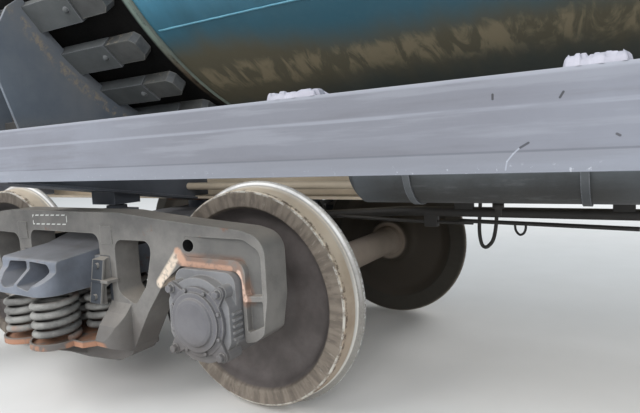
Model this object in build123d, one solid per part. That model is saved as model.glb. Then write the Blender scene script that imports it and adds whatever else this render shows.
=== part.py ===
from build123d import *
import os
from math import acos, asin, atan2, cos, degrees, pi, radians, sin, sqrt, tan

# A four-axle railway tank car for 1520 mm gauge, in millimetres.
# X runs along the car, Y across it, Z up. The origin is under the car's centre,
# level with the tips of the wheel flanges, so the rail's top is FLANGE_HEIGHT above it.

os.makedirs("parts", exist_ok=True)

# Clearances
SEAT = 0.3            # gap where a piece rests on a curved or sloping seat
RUNNING = 0.5         # radial gap of the axle journals in their boxes

# Wheels and axles
FLANGE_HEIGHT = 28.0
TREAD_R = 478.5
WHEEL_BACK_Y = 720.0  # inner face of a rim, from the car's centreline
RIM_WIDTH = 130.0
RIM_DEPTH = 74.0
WEB_T = 26.0
HUB_R = 135.0
HUB_IN = 68.0         # how far the hub stands in past the rim's inner face
HUB_OUT = 122.0
SEAT_R = 97.0
AXLE_MID_R = 82.5
DUST_R = 82.5
JOURNAL_R = 65.0
SEAT_IN_Y = 605.0
SEAT_OUT_Y = 855.0
DUST_OUT_Y = 932.0
AXLE_END_Y = 1108.0
AXLE_Z = TREAD_R + FLANGE_HEIGHT
FLANGE_R = TREAD_R + FLANGE_HEIGHT

# Bogies
PIVOT_X = 3900.0
WHEELBASE = 1850.0
AXLE_U = WHEELBASE / 2
SIDE_Y = 1018.0
SIDE_W = 130.0
SIDE_TOP_Z = 905.0
SIDE_END_TOP_Z = 838.0
SIDE_LENGTH = 2413.0
SIDE_FLANGE = 20.0
SIDE_RECESS = 30.0
JAW_W = 335.0
JAW_ROOF_Z = 694.0
COLUMN_U = 270.0         # half the opening's width between the columns
COLUMN_T = 105.0
OPENING_TOP_Z = 806.0
NEST_HALF_U = 322.0      # half its width lower down, round the springs
NEST_TOP_Z = 576.0
TRAY_TOP_Z = 334.0
FOOT_W = 168.0            # how far a column's foot stands out from the frame's middle
TRAY_T = 14.0
CHORD_BOTTOM_Z = 205.0
CENTRE_PLATE_Z = 834.0
CENTRE_PLATE_R = 149.0
BOWL_RIM_W = 24.0
BOWL_RIM_H = 28.0
BOLSTER_W = 430.0
BOLSTER_END_Y = 1262.0   # top edge of its open end

# Axle boxes
BOX_HALF_U = 155.0
BOX_TOP_Z = JAW_ROOF_Z - SEAT
BOX_BOTTOM_Z = 342.0
BOX_IN_Y = 885.0
BOX_OUT_Y = 1150.0
BOX_R = 168.0
LUG_OFF = 120.0          # the cover bolts' lugs, from the axle's middle along and up
LUG_R = 26.0
COVER_T = 16.0
COVER_R = 136.0
CAP_R = 96.0

# Bogie brake gear
SHOE_T = 52.0
SHOE_GAP = 9.0
SHOE_Y = 800.0
SHOE_W = 70.0
BEAM_Z = 478.0
BEAM_R = 24.0
BEAM_U = AXLE_U - TREAD_R - SHOE_GAP - SHOE_T - 46
HEAD_TOP_Z = BEAM_Z + 120
BOGIE_LEVER_U = 272.0

# Springs under the bolster's ends: bar, mean radius, turns
SPRING_H = 226.0
SPRING_BAR_R = 16.0
SPRING_MEAN_R = 88.0
SPRING_TURNS = 4.6
SPRING_PITCH_U = 209.0
SPRING_PITCH_Y = 200.0
SPRING_OUT_R = SPRING_MEAN_R + SPRING_BAR_R
LIP_GAP = 3.0
LIP_T = 9.0
LIP_H = 14.0
TRAY_W = 2 * (SPRING_PITCH_Y + SPRING_OUT_R + LIP_GAP + LIP_T)
BOLSTER_FOOT_IN = SIDE_Y - SPRING_PITCH_Y - SPRING_OUT_R - 6
BOLSTER_FOOT_OUT = SIDE_Y + SPRING_PITCH_Y + SPRING_OUT_R + 6
BOLSTER_FOOT_Z = TRAY_TOP_Z + SPRING_H

# Tank and its saddles
TANK_R = 1500.0
TANK_LENGTH = 10770.0
TANK_BOTTOM_Z = 1278.0
TANK_Z = TANK_BOTTOM_Z + TANK_R
CROWN_R = 3000.0
KNUCKLE_R = 300.0
DOUBLER_T = 8.0
DOUBLER_HALF_X = 635.0
DOUBLER_HALF_DEG = 58.0
BAR_T = 58.0
BAR_W = 108.0
BAR_HALF_X = 565.0
BAR_CHAMFER = 22.0
BAR_DEGREES = (22.8, 31.6, 40.4, 49.2)
TROUGH_T = 8.0
TROUGH_HALF_X = 395.0
SADDLE_WEB_U = 95.0
SADDLE_WEB_T = 14.0
SADDLE_IN_R = TANK_R + 42
STRAP_W = 90.0
STRAP_T = 8.0
STRAP_END_DEG = 60.0

# Underframe
FRAME_HALF_X = 5400.0
SILL_FACE_Y = 1450.0
SILL_TOP_Z = 1267.0
SILL_H = 200.0
SILL_FLANGE = 76.0
SILL_T = 9.0
SPINE_BOTTOM_Z = 883.0
SPINE_H = 310.0
SPINE_WEB_Y = 175.0
SPINE_WEB_T = 11.0
SPINE_FLANGE_T = 16.0
SPINE_FLANGE_OUT = 110.0
SPINE_TOP_Z = SPINE_BOTTOM_Z + SPINE_H
END_BEAM_T = 12.0
END_BEAM_H = 420.0

OUTRIGGER_X = (-2620.0, -1250.0, 1250.0, 2620.0)
COUPLER_WINDOW_W = 270.0
COUPLER_WINDOW_H = 210.0
SIDE_BEARING_Y = 762.0
SIDE_BEARING_Z = 908.0
BEAM_TIP_Z, BEAM_ROOT_Z = 1058.0, 865.0
CROSS_BAR_Z = 1230.0

# Brake gear on the frame
RESERVOIR_X, RESERVOIR_Y, RESERVOIR_Z = -1957.0, -700.0, 1070.0
RESERVOIR_R = 150.0
RESERVOIR_L = 1100.0
RESERVOIR_SPREAD = 280.0
CYLINDER_X, CYLINDER_Y, CYLINDER_Z = 1750.0, 640.0, 868.0
CYLINDER_R = 178.0
CYLINDER_L = 420.0
CYLINDER_SPREAD = 120.0
LEVER_X_A, LEVER_X_B = 1400.0, 2180.0
LEVER_T = 20.0
ROD_Y = -300.0
ROD_R = 22.0
ROD_BEND_X = 2450.0
ROD_END_Y = -70.0
ROD_END_Z = 752.0
ROD_END_U = 480.0
PIPE_Y = 330.0
PIPE_Z = 960.0
PIPE_R = 21.0
PIPE_CROSS_X = FRAME_HALF_X - 700   # where the pipe changes sides under the spine
PIPE_CROSS_Z = 848.0
COCK_Z = 1000.0
PIPE_HOLE_GAP = SEAT
DISTRIBUTOR_X = -700.0
HAND_WHEEL_X, HAND_WHEEL_Z = 2300.0, 960.0
HAND_SHAFT_IN_Y = -700.0
HAND_WHEEL_R = 190.0

# Drain
DRAIN_R = 95.0
DRAIN_FLANGE_R = 130.0
DRAIN_BOTTOM_Z = 760.0

# Manhole and what stands on the tank
NECK_PAD_W = 60.0
NECK_FLANGE_T = 26.0
NECK_FLANGE_R = 334.0
HINGE_Y = 392.0
HINGE_LUG_X = 44.0
HINGE_EYE_HALF = 34.0
HINGE_PIN_R = 11.0
LID_EARS = 8
VALVE_X = 620.0
DECK_HALF_X = 1100.0
DECK_IN_Y = 470.0
DECK_OUT_Y = 930.0
DECK_SLATS = 23
SLAT_W = 46.0
RAIL_R = 15.0
LADDER_W = 380.0
LADDER_OFF = 48.0        # from the tank's skin to the middle of a stile
STILE_R = 17.0
RUNG_STEP = 300.0
LADDER_BEND_R = 240.0
STEP_Z = 480.0

# Couplers
COUPLER_Z = 1068.0
COUPLER_FACE_X = FRAME_HALF_X + 610
SHANK_W = 130.0
SHANK_H = 150.0
YOKE_GAP = 5.0
YOKE_W = 160.0
COUPLER_PIN_X = FRAME_HALF_X - 500

# Manhole
NECK_R = 300.0
NECK_BORE_R = 285.0
NECK_TOP_Z = TANK_Z + TANK_R + 200.0
WELL_DEPTH = 620.0
CROWN_PATCH_HALF = 420.0   # half the side of the square course that the neck stands on
HINGE_Z = NECK_TOP_Z + 20.0
DECK_Z = TANK_Z + TANK_R + 60.0
RAIL_TOP_Z = DECK_Z + 480.0
LADDER_BOTTOM_Z = 780.0


def polygon(points):
    """A flat face from a list of corner points."""
    return make_face(Polyline(*points, close=True))


def rounded(points, radii):
    """A flat face whose corners are rounded, one radius a corner, 0 for a sharp one."""
    face = polygon(points)
    for (a, b), r in zip(points, radii):
        if r > 0:
            corner = face.vertices().sort_by_distance((a, b, 0))[0]
            face = fillet(corner, r)
    return face


def across(face, y0, y1):
    """Carry a face drawn in x, z from y0 to y1."""
    plane = Plane(origin=(0, y1, 0), x_dir=(1, 0, 0), z_dir=(0, -1, 0))
    return extrude(plane * face, amount=y1 - y0)


def along(face, x0, x1):
    """Carry a face drawn in y, z from x0 to x1."""
    plane = Plane(origin=(x0, 0, 0), x_dir=(0, 1, 0), z_dir=(1, 0, 0))
    return extrude(plane * face, amount=x1 - x0)


def upright(face, z0, z1):
    """Carry a face drawn in x, y from z0 to z1."""
    return extrude(Pos(0, 0, z0) * face, amount=z1 - z0)


def block(x0, x1, y0, y1, z0, z1):
    """A box between its limits."""
    middle = Pos((x0 + x1) / 2, (y0 + y1) / 2, (z0 + z1) / 2)
    return middle * Box(x1 - x0, y1 - y0, z1 - z0)


def rod(start, end, r):
    """A round bar from one point to another."""
    a, b = Vector(*start), Vector(*end)
    plane = Plane(origin=a, z_dir=b - a)
    return extrude(plane * Circle(r), amount=(b - a).length)


def ring(x, y0, y1, z, r, bore=0.0):
    """A round collar on a cross axis at x, z, from y0 to y1."""
    body = rod((x, y0, z), (x, y1, z), r)
    if bore > 0:
        body -= rod((x, y0 - 1, z), (x, y1 + 1, z), bore)
    return body


def bent_bar(points, bend, r):
    """A round bar through points, with its corners bent to one radius."""
    path = FilletPolyline(*points, radius=bend)
    start = Plane(origin=path @ 0, z_dir=path % 0)
    return sweep(start * Circle(r), path=path)


def both_sides(solids):
    """The solids and their mirror images across the car's centre plane."""
    return list(solids) + [mirror(s, about=Plane.XZ) for s in solids]


def both_ends(solids):
    """The solids and their mirror images about the car's middle."""
    return list(solids) + [mirror(s, about=Plane.YZ) for s in solids]


def write(node, solids):
    """Write one node's solids to its file."""
    flat = []
    for shape in solids:
        flat += list(shape.solids())
    export_step(Compound(children=flat), f"parts/{node}.step")


def at_bogie(solids, end):
    """Place solids drawn about a bogie's pivot, end -1 or 1, the second turned end for end."""
    place = Pos(end * PIVOT_X, 0, 0) * Rot(0, 0, 0 if end < 0 else 180)
    return [place * s for s in solids]


# Wheelsets: each is one body, an axle with two wheels pressed on it

def wheel():
    """One wheel, revolved about Y, with its inner rim face at WHEEL_BACK_Y."""
    rim_r = TREAD_R - RIM_DEPTH
    section = [  # y from the inner rim face, radius, corner radius
        (-HUB_IN, SEAT_R + SEAT, 0),
        (-HUB_IN, HUB_R, 8),
        (-HUB_IN + 70, HUB_R + 16, 60),
        (34, rim_r - 60, 60),
        (0, rim_r, 20),
        (0, TREAD_R + 10, 12),
        (8, FLANGE_R, 9),
        (22, FLANGE_R, 9),
        (34, TREAD_R + 3, 14),
        (RIM_WIDTH - 6, TREAD_R - 5, 0),
        (RIM_WIDTH, TREAD_R - 11, 0),
        (RIM_WIDTH, rim_r, 8),
        (34 + WEB_T + 10, rim_r - 36, 50),
        (HUB_IN - 40 + WEB_T, HUB_R + 40, 60),
        (HUB_OUT, HUB_R, 8),
        (HUB_OUT, SEAT_R + SEAT, 0),
    ]
    face = rounded([(y, r) for y, r, _ in section], [c for _, _, c in section])
    body = revolve(Plane.YZ * face, axis=Axis.Y)
    return Pos(0, WHEEL_BACK_Y, 0) * body


def axle():
    """The axle, revolved about Y, with stepped seats for wheels and journals."""
    half = [  # y, radius
        (0, 0),
        (0, AXLE_MID_R),
        (SEAT_IN_Y - 60, AXLE_MID_R),
        (SEAT_IN_Y, SEAT_R),
        (SEAT_OUT_Y, SEAT_R),
        (SEAT_OUT_Y + 12, DUST_R),
        (DUST_OUT_Y, DUST_R),
        (DUST_OUT_Y + 8, JOURNAL_R),
        (AXLE_END_Y - 6, JOURNAL_R),
        (AXLE_END_Y, JOURNAL_R - 6),
        (AXLE_END_Y, 0),
    ]
    other = [(-y, r) for y, r in reversed(half[1:-1])]
    face = polygon(half[1:] + [(-AXLE_END_Y, 0)] + other)
    return revolve(Plane.YZ * face, axis=Axis.Y)


def write_wheelsets():
    """Four wheelsets, numbered from the left end, each an axle and two wheels."""
    one = wheel()
    shaft = axle()
    number = 0
    for end in (-1, 1):
        for side in (-1, 1):
            number += 1
            place = Pos(end * PIVOT_X + side * AXLE_U, 0, AXLE_Z)
            write(f"wheelset_{number}", both_sides([place * one]) + [place * shaft])


# Bogie castings

def side_frame():
    """One cast side frame about its bogie's pivot, on the -Y side, outer face at the lower y."""
    half_l = SIDE_LENGTH / 2
    jaw_in = AXLE_U - JAW_W / 2
    jaw_out = AXLE_U + JAW_W / 2
    y0, y1 = -SIDE_Y - SIDE_W / 2, -SIDE_Y + SIDE_W / 2
    right = [  # u, z, corner radius
        (420, SIDE_TOP_Z, 160),
        (700, SIDE_END_TOP_Z + 42, 200),
        (half_l - 110, SIDE_END_TOP_Z + 14, 140),
        (half_l, SIDE_END_TOP_Z - 14, 84),
        (half_l, 600, 60),
        (half_l - 24, 462, 26),
        (half_l - 60, 432, 14),
        (jaw_out, 418, 10),
        (jaw_out, JAW_ROOF_Z, 44),
        (jaw_in + 20, JAW_ROOF_Z, 16),
        (jaw_in - 80, 622, 50),
        (jaw_in - 198, 470, 120),
        (NEST_HALF_U + 110, 262, 60),
        (NEST_HALF_U + 18, CHORD_BOTTOM_Z + 17, 80),
        (120, CHORD_BOTTOM_Z, 100),
    ]
    left = [(-u, z, r) for u, z, r in reversed(right)]
    corners = right + left
    face = rounded([(u, z) for u, z, _ in corners], [r for _, _, r in corners])
    body = across(face, y0, y1)

    # the opening that the bolster passes through, with the columns at its sides
    opening = rounded(
        [(-COLUMN_U, OPENING_TOP_Z), (COLUMN_U, OPENING_TOP_Z), (COLUMN_U, NEST_TOP_Z),
         (NEST_HALF_U, NEST_TOP_Z - 8), (NEST_HALF_U, TRAY_TOP_Z),
         (-NEST_HALF_U, TRAY_TOP_Z), (-NEST_HALF_U, NEST_TOP_Z - 8), (-COLUMN_U, NEST_TOP_Z)],
        [46, 46, 16, 12, 10, 10, 12, 16])
    body -= across(opening, y0 - 1, y1 + 1)

    column_out = COLUMN_U + COLUMN_T
    for s in (-1, 1):
        window = rounded(
            [(s * column_out, 784), (s * (column_out + 228), 788), (s * (column_out + 232), 735),
             (s * (column_out + 190), 592), (s * (column_out + 112), 498), (s * column_out, 545)],
            [50, 40, 60, 60, 30, 60])
        body -= across(window, y0 - 1, y1 + 1)
        body -= across(Pos(s * (jaw_in + 66), 780) * Circle(25), y0 - 1, y1 + 1)

        # the web over each jaw, inside a raised flange, its outer face falling back towards the end
        web = rounded(
            [(s * (jaw_in + 44), 818), (s * (half_l - 96), 818), (s * (half_l - SIDE_FLANGE), 776),
             (s * (half_l - SIDE_FLANGE), 610), (s * (jaw_out + 16), 602),
             (s * (jaw_out + 16), JAW_ROOF_Z + 42), (s * (jaw_in + 44), JAW_ROOF_Z + 42)],
            [24, 70, 50, 10, 10, 50, 24])
        fall = polygon([(s * (jaw_in + 46), y0), (s * (jaw_in + 46), y0 - 1), (s * half_l, y0 - 1),
                        (s * half_l, y0 + SIDE_RECESS), (s * (jaw_in + 210), y0 + SIDE_RECESS)])
        body -= across(web, y0 - 1, y0 + SIDE_RECESS) & upright(fall, 500, 900)
        body -= across(web, y1 - SIDE_RECESS, y1 + 1)
        pocket = rounded(
            [(s * (jaw_out + 15), 580), (s * (half_l - SIDE_FLANGE), 590),
             (s * (half_l - SIDE_FLANGE), 496), (s * (jaw_out + 15), 460)],
            [8, 8, 8, 8])
        body -= across(pocket, y0 - 1, y0 + SIDE_RECESS)

        # wear plates on a boss that leans over the opening, two rivets and a ledge between them
        boss = polygon([(y0 + 6, 706), (y0 - 30, 696), (y0 - 62, 504),
                        (y0 - 30, 496), (y0 - 30, 572), (y0 + 6, NEST_TOP_Z + 14)])
        body += along(boss, *sorted((s * (COLUMN_U + 2), s * (COLUMN_U + 66))))
        plate = polygon([(y0 - 26, 698), (y0 - 38, 696), (y0 - 70, 506), (y0 - 58, 504)])
        body += along(plate, *sorted((s * (COLUMN_U - 4), s * (COLUMN_U + 72))))
        ledge = sorted((s * (COLUMN_U + 4), s * (COLUMN_U + COLUMN_T + 10)))
        body += block(*ledge, y0 - 60, y0 + 1, 598, 610)
        for z, y in ((534, y0 - 64), (670, y0 - 41)):
            body += ring(s * (COLUMN_U + 34), y - 12, y + 6, z, 13)

        # a blank raised pad at each column's head
        pad = sorted((s * (COLUMN_U + 20), s * (COLUMN_U + COLUMN_T - 8)))
        body += block(*pad, y0 - 5, y0 + 1, 760, 846)

        # the columns' feet, spread out to the tray's corners
        foot = sorted((s * (NEST_HALF_U + 4), s * (NEST_HALF_U + 134)))
        spread = polygon([
            (-SIDE_W / 2 + 6, 508), (-SIDE_W / 2 - 30, 461), (-FOOT_W + 28, 412), (-FOOT_W, 352),
            (-FOOT_W + 12, TRAY_TOP_Z - TRAY_T), (-SIDE_W / 2 + 2, 284), (SIDE_W / 2 - 2, 284),
            (FOOT_W, TRAY_TOP_Z - TRAY_T), (FOOT_W, 340), (SIDE_W / 2 - 6, 450)])
        body += Pos(0, -SIDE_Y, 0) * (along(spread, *foot) & upright(foot_plan(s), 100, 600))

    body += Pos(0, -SIDE_Y, 0) * spring_tray()

    # brackets under the tray
    for u in (-100, 100):
        wide, narrow = TRAY_W / 2 - 30, SIDE_W / 2 - 2
        high, low = TRAY_TOP_Z - TRAY_T + 1, CHORD_BOTTOM_Z + 14
        gusset = polygon([(-wide, high), (wide, high), (narrow, low), (-narrow, low)])
        body += Pos(0, -SIDE_Y, 0) * along(gusset, u - 10, u + 10)
    return body


def foot_plan(s):
    """The outline from above of a column's foot on side s of the pivot, narrower beside the brake shoes."""
    near, far, half = NEST_HALF_U, NEST_HALF_U + 134, FOOT_W
    shoe_side = near + 54
    return rounded(
        [(s * near, -half - 1), (s * far, -half - 1), (s * far, SIDE_W / 2 + 8),
         (s * shoe_side, SIDE_W / 2 + 60), (s * shoe_side, half + 1), (s * near, half + 1)],
        [0, 96, 20, 20, 30, 0])


def spring_tray():
    """The tray under a nest of springs, its edge following the outer coils, with a raised lip."""
    def plan(r):
        half = SPRING_PITCH_Y + r - SPRING_OUT_R - LIP_T
        edge, side = NEST_HALF_U - 50 + r - SPRING_OUT_R, FOOT_W - 22
        quarter = [(NEST_HALF_U + 8, side), (edge, half)]
        rest = [(-u, y) for u, y in reversed(quarter)]
        core = polygon(quarter + rest + [(-u, -y) for u, y in quarter + rest])
        for u, dy in spring_places():
            if dy:
                core += Pos(u, dy) * Circle(r)
        return core

    outer = plan(SPRING_OUT_R + LIP_GAP + LIP_T)
    inner = plan(SPRING_OUT_R + LIP_GAP)
    tray = extrude(Pos(0, 0, TRAY_TOP_Z - TRAY_T) * outer, amount=TRAY_T + LIP_H)
    return tray - extrude(Pos(0, 0, TRAY_TOP_Z) * inner, amount=LIP_H + 1)


def bolster():
    """The cast bolster, a box beam with open pockets at its ends, bowl and side bearings."""
    half_w = BOLSTER_W / 2
    top_mid = CENTRE_PLATE_Z - 20
    right = [  # y, z, corner radius
        (260, top_mid, 80),
        (820, top_mid - 20, 80),
        (BOLSTER_END_Y - 230, 732, 80),
        (BOLSTER_END_Y, 708, 16),
        (BOLSTER_END_Y, 662, 16),
        (BOLSTER_FOOT_OUT, 606, 12),
        (BOLSTER_FOOT_OUT, BOLSTER_FOOT_Z + SEAT, 0),
        (BOLSTER_FOOT_IN, BOLSTER_FOOT_Z + SEAT, 60),
        (420, 430, 80),
    ]
    left = [(-y, z, r) for y, z, r in reversed(right)]
    corners = right + left
    side = rounded([(y, z) for y, z, _ in corners], [r for _, _, r in corners])
    body = along(side, -half_w, half_w)
    plan = rounded(
        [(-half_w, -BOLSTER_FOOT_OUT), (half_w, -BOLSTER_FOOT_OUT),
         (half_w, BOLSTER_FOOT_OUT), (-half_w, BOLSTER_FOOT_OUT)],
        [90] * 4)
    body &= upright(plan, 400, 900)

    # two pockets in each end, either side of a middle rib
    for s in (-1, 1):
        for t in (-1, 1):
            pocket = rounded(
                [(t * 11, 698), (t * 148, 692), (t * 172, 650), (t * 96, 584), (t * 11, 598)],
                [10, 24, 24, 30, 10])
            ys = sorted((s * (BOLSTER_END_Y - 190), s * (BOLSTER_FOOT_OUT + 1)))
            body -= across(pocket, ys[0], ys[1])

        # side bearing on the bolster's top
        body += block(-95, 95, s * 762 - 62, s * 762 + 62, 760, 880)
        body += Pos(0, s * 762, 880) * Cylinder(52, 36, align=(Align.CENTER, Align.CENTER, Align.CENTER))

    # the bowl that the car's centre plate turns in
    floor = CENTRE_PLATE_Z
    bowl = Cylinder(CENTRE_PLATE_R + 1 + BOWL_RIM_W, BOWL_RIM_H + 30,
                    align=(Align.CENTER, Align.CENTER, Align.MIN))
    body += Pos(0, 0, floor - 30) * bowl
    hollow = Cylinder(CENTRE_PLATE_R + 1, BOWL_RIM_H + 5, align=(Align.CENTER, Align.CENTER, Align.MIN))
    body -= Pos(0, 0, floor) * hollow
    return body


def spring():
    """One coil spring standing on z = 0: a round bar carried up a helix, with flat end coils."""
    rise = SPRING_H - 2 * SPRING_BAR_R - 2 * SEAT
    path = Helix(pitch=rise / SPRING_TURNS, height=rise, radius=SPRING_MEAN_R)
    start = Plane(origin=path @ 0, z_dir=path % 0)
    coil = sweep(start * Circle(SPRING_BAR_R), path=path, is_frenet=True)
    return Pos(0, 0, SPRING_BAR_R + SEAT) * coil


def spring_places():
    """Where the seven springs stand on a tray: u and the offset from the frame's middle."""
    half = SPRING_PITCH_U / 2
    return [
        (-half, -SPRING_PITCH_Y), (half, -SPRING_PITCH_Y),
        (-SPRING_PITCH_U, 0), (0, 0), (SPRING_PITCH_U, 0),
        (-half, SPRING_PITCH_Y), (half, SPRING_PITCH_Y),
    ]


def wedges():
    """Friction wedges between the bolster and the columns, on the -Y side."""
    out = []
    for s in (-1, 1):
        inner = BOLSTER_W / 2 + SEAT
        outer = COLUMN_U - SEAT
        face = rounded(
            [(s * inner, 704), (s * (outer - 16), 704), (s * outer, 690),
             (s * outer, NEST_TOP_Z + 6), (s * (outer - 14), BOLSTER_FOOT_Z + SEAT),
             (s * inner, BOLSTER_FOOT_Z + SEAT)],
            [0, 0, 0, 0, 0, 0])
        out.append(across(face, -SIDE_Y - 55, -SIDE_Y + 55))
    return out


def axle_box():
    """One axle box about its axle, on the -Y side, with lugs and side guides."""
    r = 168.0
    body = ring(0, -BOX_OUT_Y, -BOX_IN_Y, AXLE_Z, r)
    shoulders = rounded(
        [(-BOX_HALF_U, BOX_TOP_Z), (BOX_HALF_U, BOX_TOP_Z), (BOX_HALF_U, 430),
         (BOX_HALF_U - 60, 352), (-BOX_HALF_U + 60, 352), (-BOX_HALF_U, 430)],
        [48, 48, 24, 24, 24, 24])
    body += across(shoulders, -SIDE_Y - 90, -SIDE_Y + 90)
    body &= block(-BOX_HALF_U, BOX_HALF_U, -BOX_OUT_Y, -BOX_IN_Y, BOX_BOTTOM_Z, BOX_TOP_Z)
    for s in (-1, 1):
        for t in (-1, 1):
            body += ring(s * LUG_OFF, -BOX_OUT_Y, -BOX_OUT_Y + 70, AXLE_Z + t * LUG_OFF, LUG_R)
            web = sorted((s * (LUG_OFF - 64), s * LUG_OFF))
            web_z = sorted((AXLE_Z + t * 60, AXLE_Z + t * (LUG_OFF + 6)))
            body += block(*web, -BOX_OUT_Y, -BOX_OUT_Y + 70, *web_z)
        # level fins on the sides
        for k in range(5):
            z = AXLE_Z - 62 + 24 * k
            xs = sorted((s * (BOX_HALF_U - 40), s * (BOX_HALF_U + 8)))
            body += block(*xs, -SIDE_Y - 116, -SIDE_Y - 66, z, z + 11)
    body -= ring(0, -AXLE_END_Y - 8, -BOX_IN_Y + 1, AXLE_Z, JOURNAL_R + RUNNING)
    body -= ring(0, -DUST_OUT_Y - 10, -BOX_IN_Y + 1, AXLE_Z, DUST_R + RUNNING)
    return body


def box_cover():
    """The bolted front cover of an axle box, with a raised inspection cap."""
    y = -BOX_OUT_Y - SEAT
    body = ring(0, y - COVER_T, y, AXLE_Z, COVER_R)
    body += ring(0, y - COVER_T - 12, y - COVER_T + 1, AXLE_Z, COVER_R - 20)
    dome = [(0, 0), (0, CAP_R), (-9, CAP_R - 6), (-13, CAP_R - 18), (-13, 0)]
    cap = revolve(Plane.YZ * polygon(dome), axis=Axis.Y)
    body += Pos(0, y - COVER_T - 12, AXLE_Z) * cap
    for s in (-1, 1):
        for t in (-1, 1):
            body += ring(s * LUG_OFF, y - 14, y, AXLE_Z + t * LUG_OFF, LUG_R - 2)
            ear = polygon([(s * (LUG_OFF - 18), AXLE_Z + t * (LUG_OFF + 16)),
                           (s * (LUG_OFF + 16), AXLE_Z + t * (LUG_OFF - 18)),
                           (s * 96, AXLE_Z + t * 30), (s * 30, AXLE_Z + t * 96)])
            body += across(ear, y - 14, y)
    return body


# Bogie brake gear

def brake_beam():
    """One cross beam with its strut, at +u, about its bogie's pivot, slotted for the lever."""
    u = BEAM_U
    beam = rod((u, -860, BEAM_Z), (u, 860, BEAM_Z), BEAM_R)
    for s in (-1, 1):
        beam += rod((u - 4, s * 640, BEAM_Z), (u - 100, s * 40, BEAM_Z + 6), 15)
    beam += block(u - 118, u, -40, 40, BEAM_Z - 18, BEAM_Z + 30)
    half = 22 + SEAT
    beam -= block(BOGIE_LEVER_U - half, BOGIE_LEVER_U + half, -12 - SEAT, 12 + SEAT, BEAM_Z - 60, BEAM_Z + 60)
    return beam


def brake_shoe(s):
    """One brake shoe with its head, on side s, following the tread of the wheel at +u."""
    inner = TREAD_R + SHOE_GAP
    outer = inner + SHOE_T
    a0, a1 = radians(180 - 19), radians(180 + 22)

    def at(r, a):
        return (AXLE_U + r * cos(a), AXLE_Z + r * sin(a))

    mid = (a0 + a1) / 2
    edges = [
        ThreePointArc(at(inner, a0), at(inner, mid), at(inner, a1)),
        Line(at(inner, a1), at(outer, a1)),
        ThreePointArc(at(outer, a1), at(outer, mid), at(outer, a0)),
        Line(at(outer, a0), at(inner, a0)),
    ]
    y0 = s * SHOE_Y - SHOE_W / 2
    shoe = across(make_face(edges), y0, y0 + SHOE_W)
    u = AXLE_U - outer
    shoe += block(BEAM_U - 8, u + 10, s * SHOE_Y - 22, s * SHOE_Y + 22, BEAM_Z - 80, HEAD_TOP_Z)
    shoe -= rod((BEAM_U, s * SHOE_Y - 50, BEAM_Z), (BEAM_U, s * SHOE_Y + 50, BEAM_Z), BEAM_R + SEAT)
    return shoe


def brake_hanger(s):
    """The link over a shoe's head, with its pin into the side frame's inner face."""
    u = COLUMN_U + COLUMN_T / 2
    y = s * SHOE_Y
    link = block(u - 14, u + 14, y - 10, y + 10, HEAD_TOP_Z + SEAT, 760)
    return link + ring(u, *sorted((y - s * 30, s * (SIDE_Y - SIDE_W / 2 - SEAT))), 742, 15)


def bogie_levers():
    """The upright levers at both beams, tied by a rod under the bolster."""
    u = BOGIE_LEVER_U
    live = block(u - 22, u + 22, -12, 12, 372, 790)
    dead = block(-u - 22, -u + 22, -12, 12, 372, 660)
    dead += block(-u, -BOLSTER_W / 2 - SEAT, -40, 40, 600, 640)
    tie = block(-u + 22 + SEAT, u - 22 - SEAT, -16, 16, 384, 412)
    return [live, dead, tie]


def write_bogies():
    """Both bogies, their castings, springs, boxes and brake gear."""
    frame = side_frame()
    beam = bolster()
    coil = spring()
    nests = [Pos(u, -SIDE_Y + dy, TRAY_TOP_Z) * coil for u, dy in spring_places()]
    boxes = [Pos(s * AXLE_U, 0, 0) * axle_box() for s in (-1, 1)]
    covers = [Pos(s * AXLE_U, 0, 0) * box_cover() for s in (-1, 1)]
    one_beam = brake_beam()
    shoes = [brake_shoe(s) for s in (-1, 1)] + [brake_hanger(s) for s in (-1, 1)]
    for letter, end in (("a", -1), ("b", 1)):
        write(f"side_frames_{letter}", at_bogie(both_sides([frame]), end))
        write(f"bolster_{letter}", at_bogie([beam], end))
        write(f"springs_{letter}", at_bogie(both_sides(nests), end))
        write(f"wedges_{letter}", at_bogie(both_sides(wedges()), end))
        write(f"axle_boxes_{letter}", at_bogie(both_sides(boxes), end))
        write(f"box_covers_{letter}", at_bogie(both_sides(covers), end))
        write(f"brake_gear_{letter}", at_bogie(both_ends([one_beam] + shoes) + bogie_levers(), end))


# The tank and what carries it

def arc(centre, r, a0, a1):
    """An arc about a centre between two angles in degrees."""
    points = [(centre[0] + r * cos(radians(a)), centre[1] + r * sin(radians(a)))
              for a in (a0, (a0 + a1) / 2, a1)]
    return ThreePointArc(*points)


def tank_body():
    """The whole tank, a barrel with dished ends, revolved about its own axis."""
    half = TANK_LENGTH / 2
    depth = CROWN_R - sqrt((CROWN_R - KNUCKLE_R) ** 2 - (TANK_R - KNUCKLE_R) ** 2)
    crown = (half - CROWN_R, 0)
    knuckle = (half - depth, TANK_R - KNUCKLE_R)
    turn = degrees(atan2(knuckle[1], knuckle[0] - crown[0]))
    first = arc(crown, CROWN_R, 0, turn)
    second = arc(knuckle, KNUCKLE_R, turn, 90)
    edges = [first, second, Line(second @ 1, (0, TANK_R)), Line((0, TANK_R), (0, 0)), Line((0, 0), first @ 0)]
    end = revolve(Plane.XZ * make_face(edges), axis=Axis.X)
    return Pos(0, 0, TANK_Z) * (end + mirror(end, about=Plane.YZ))


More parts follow.
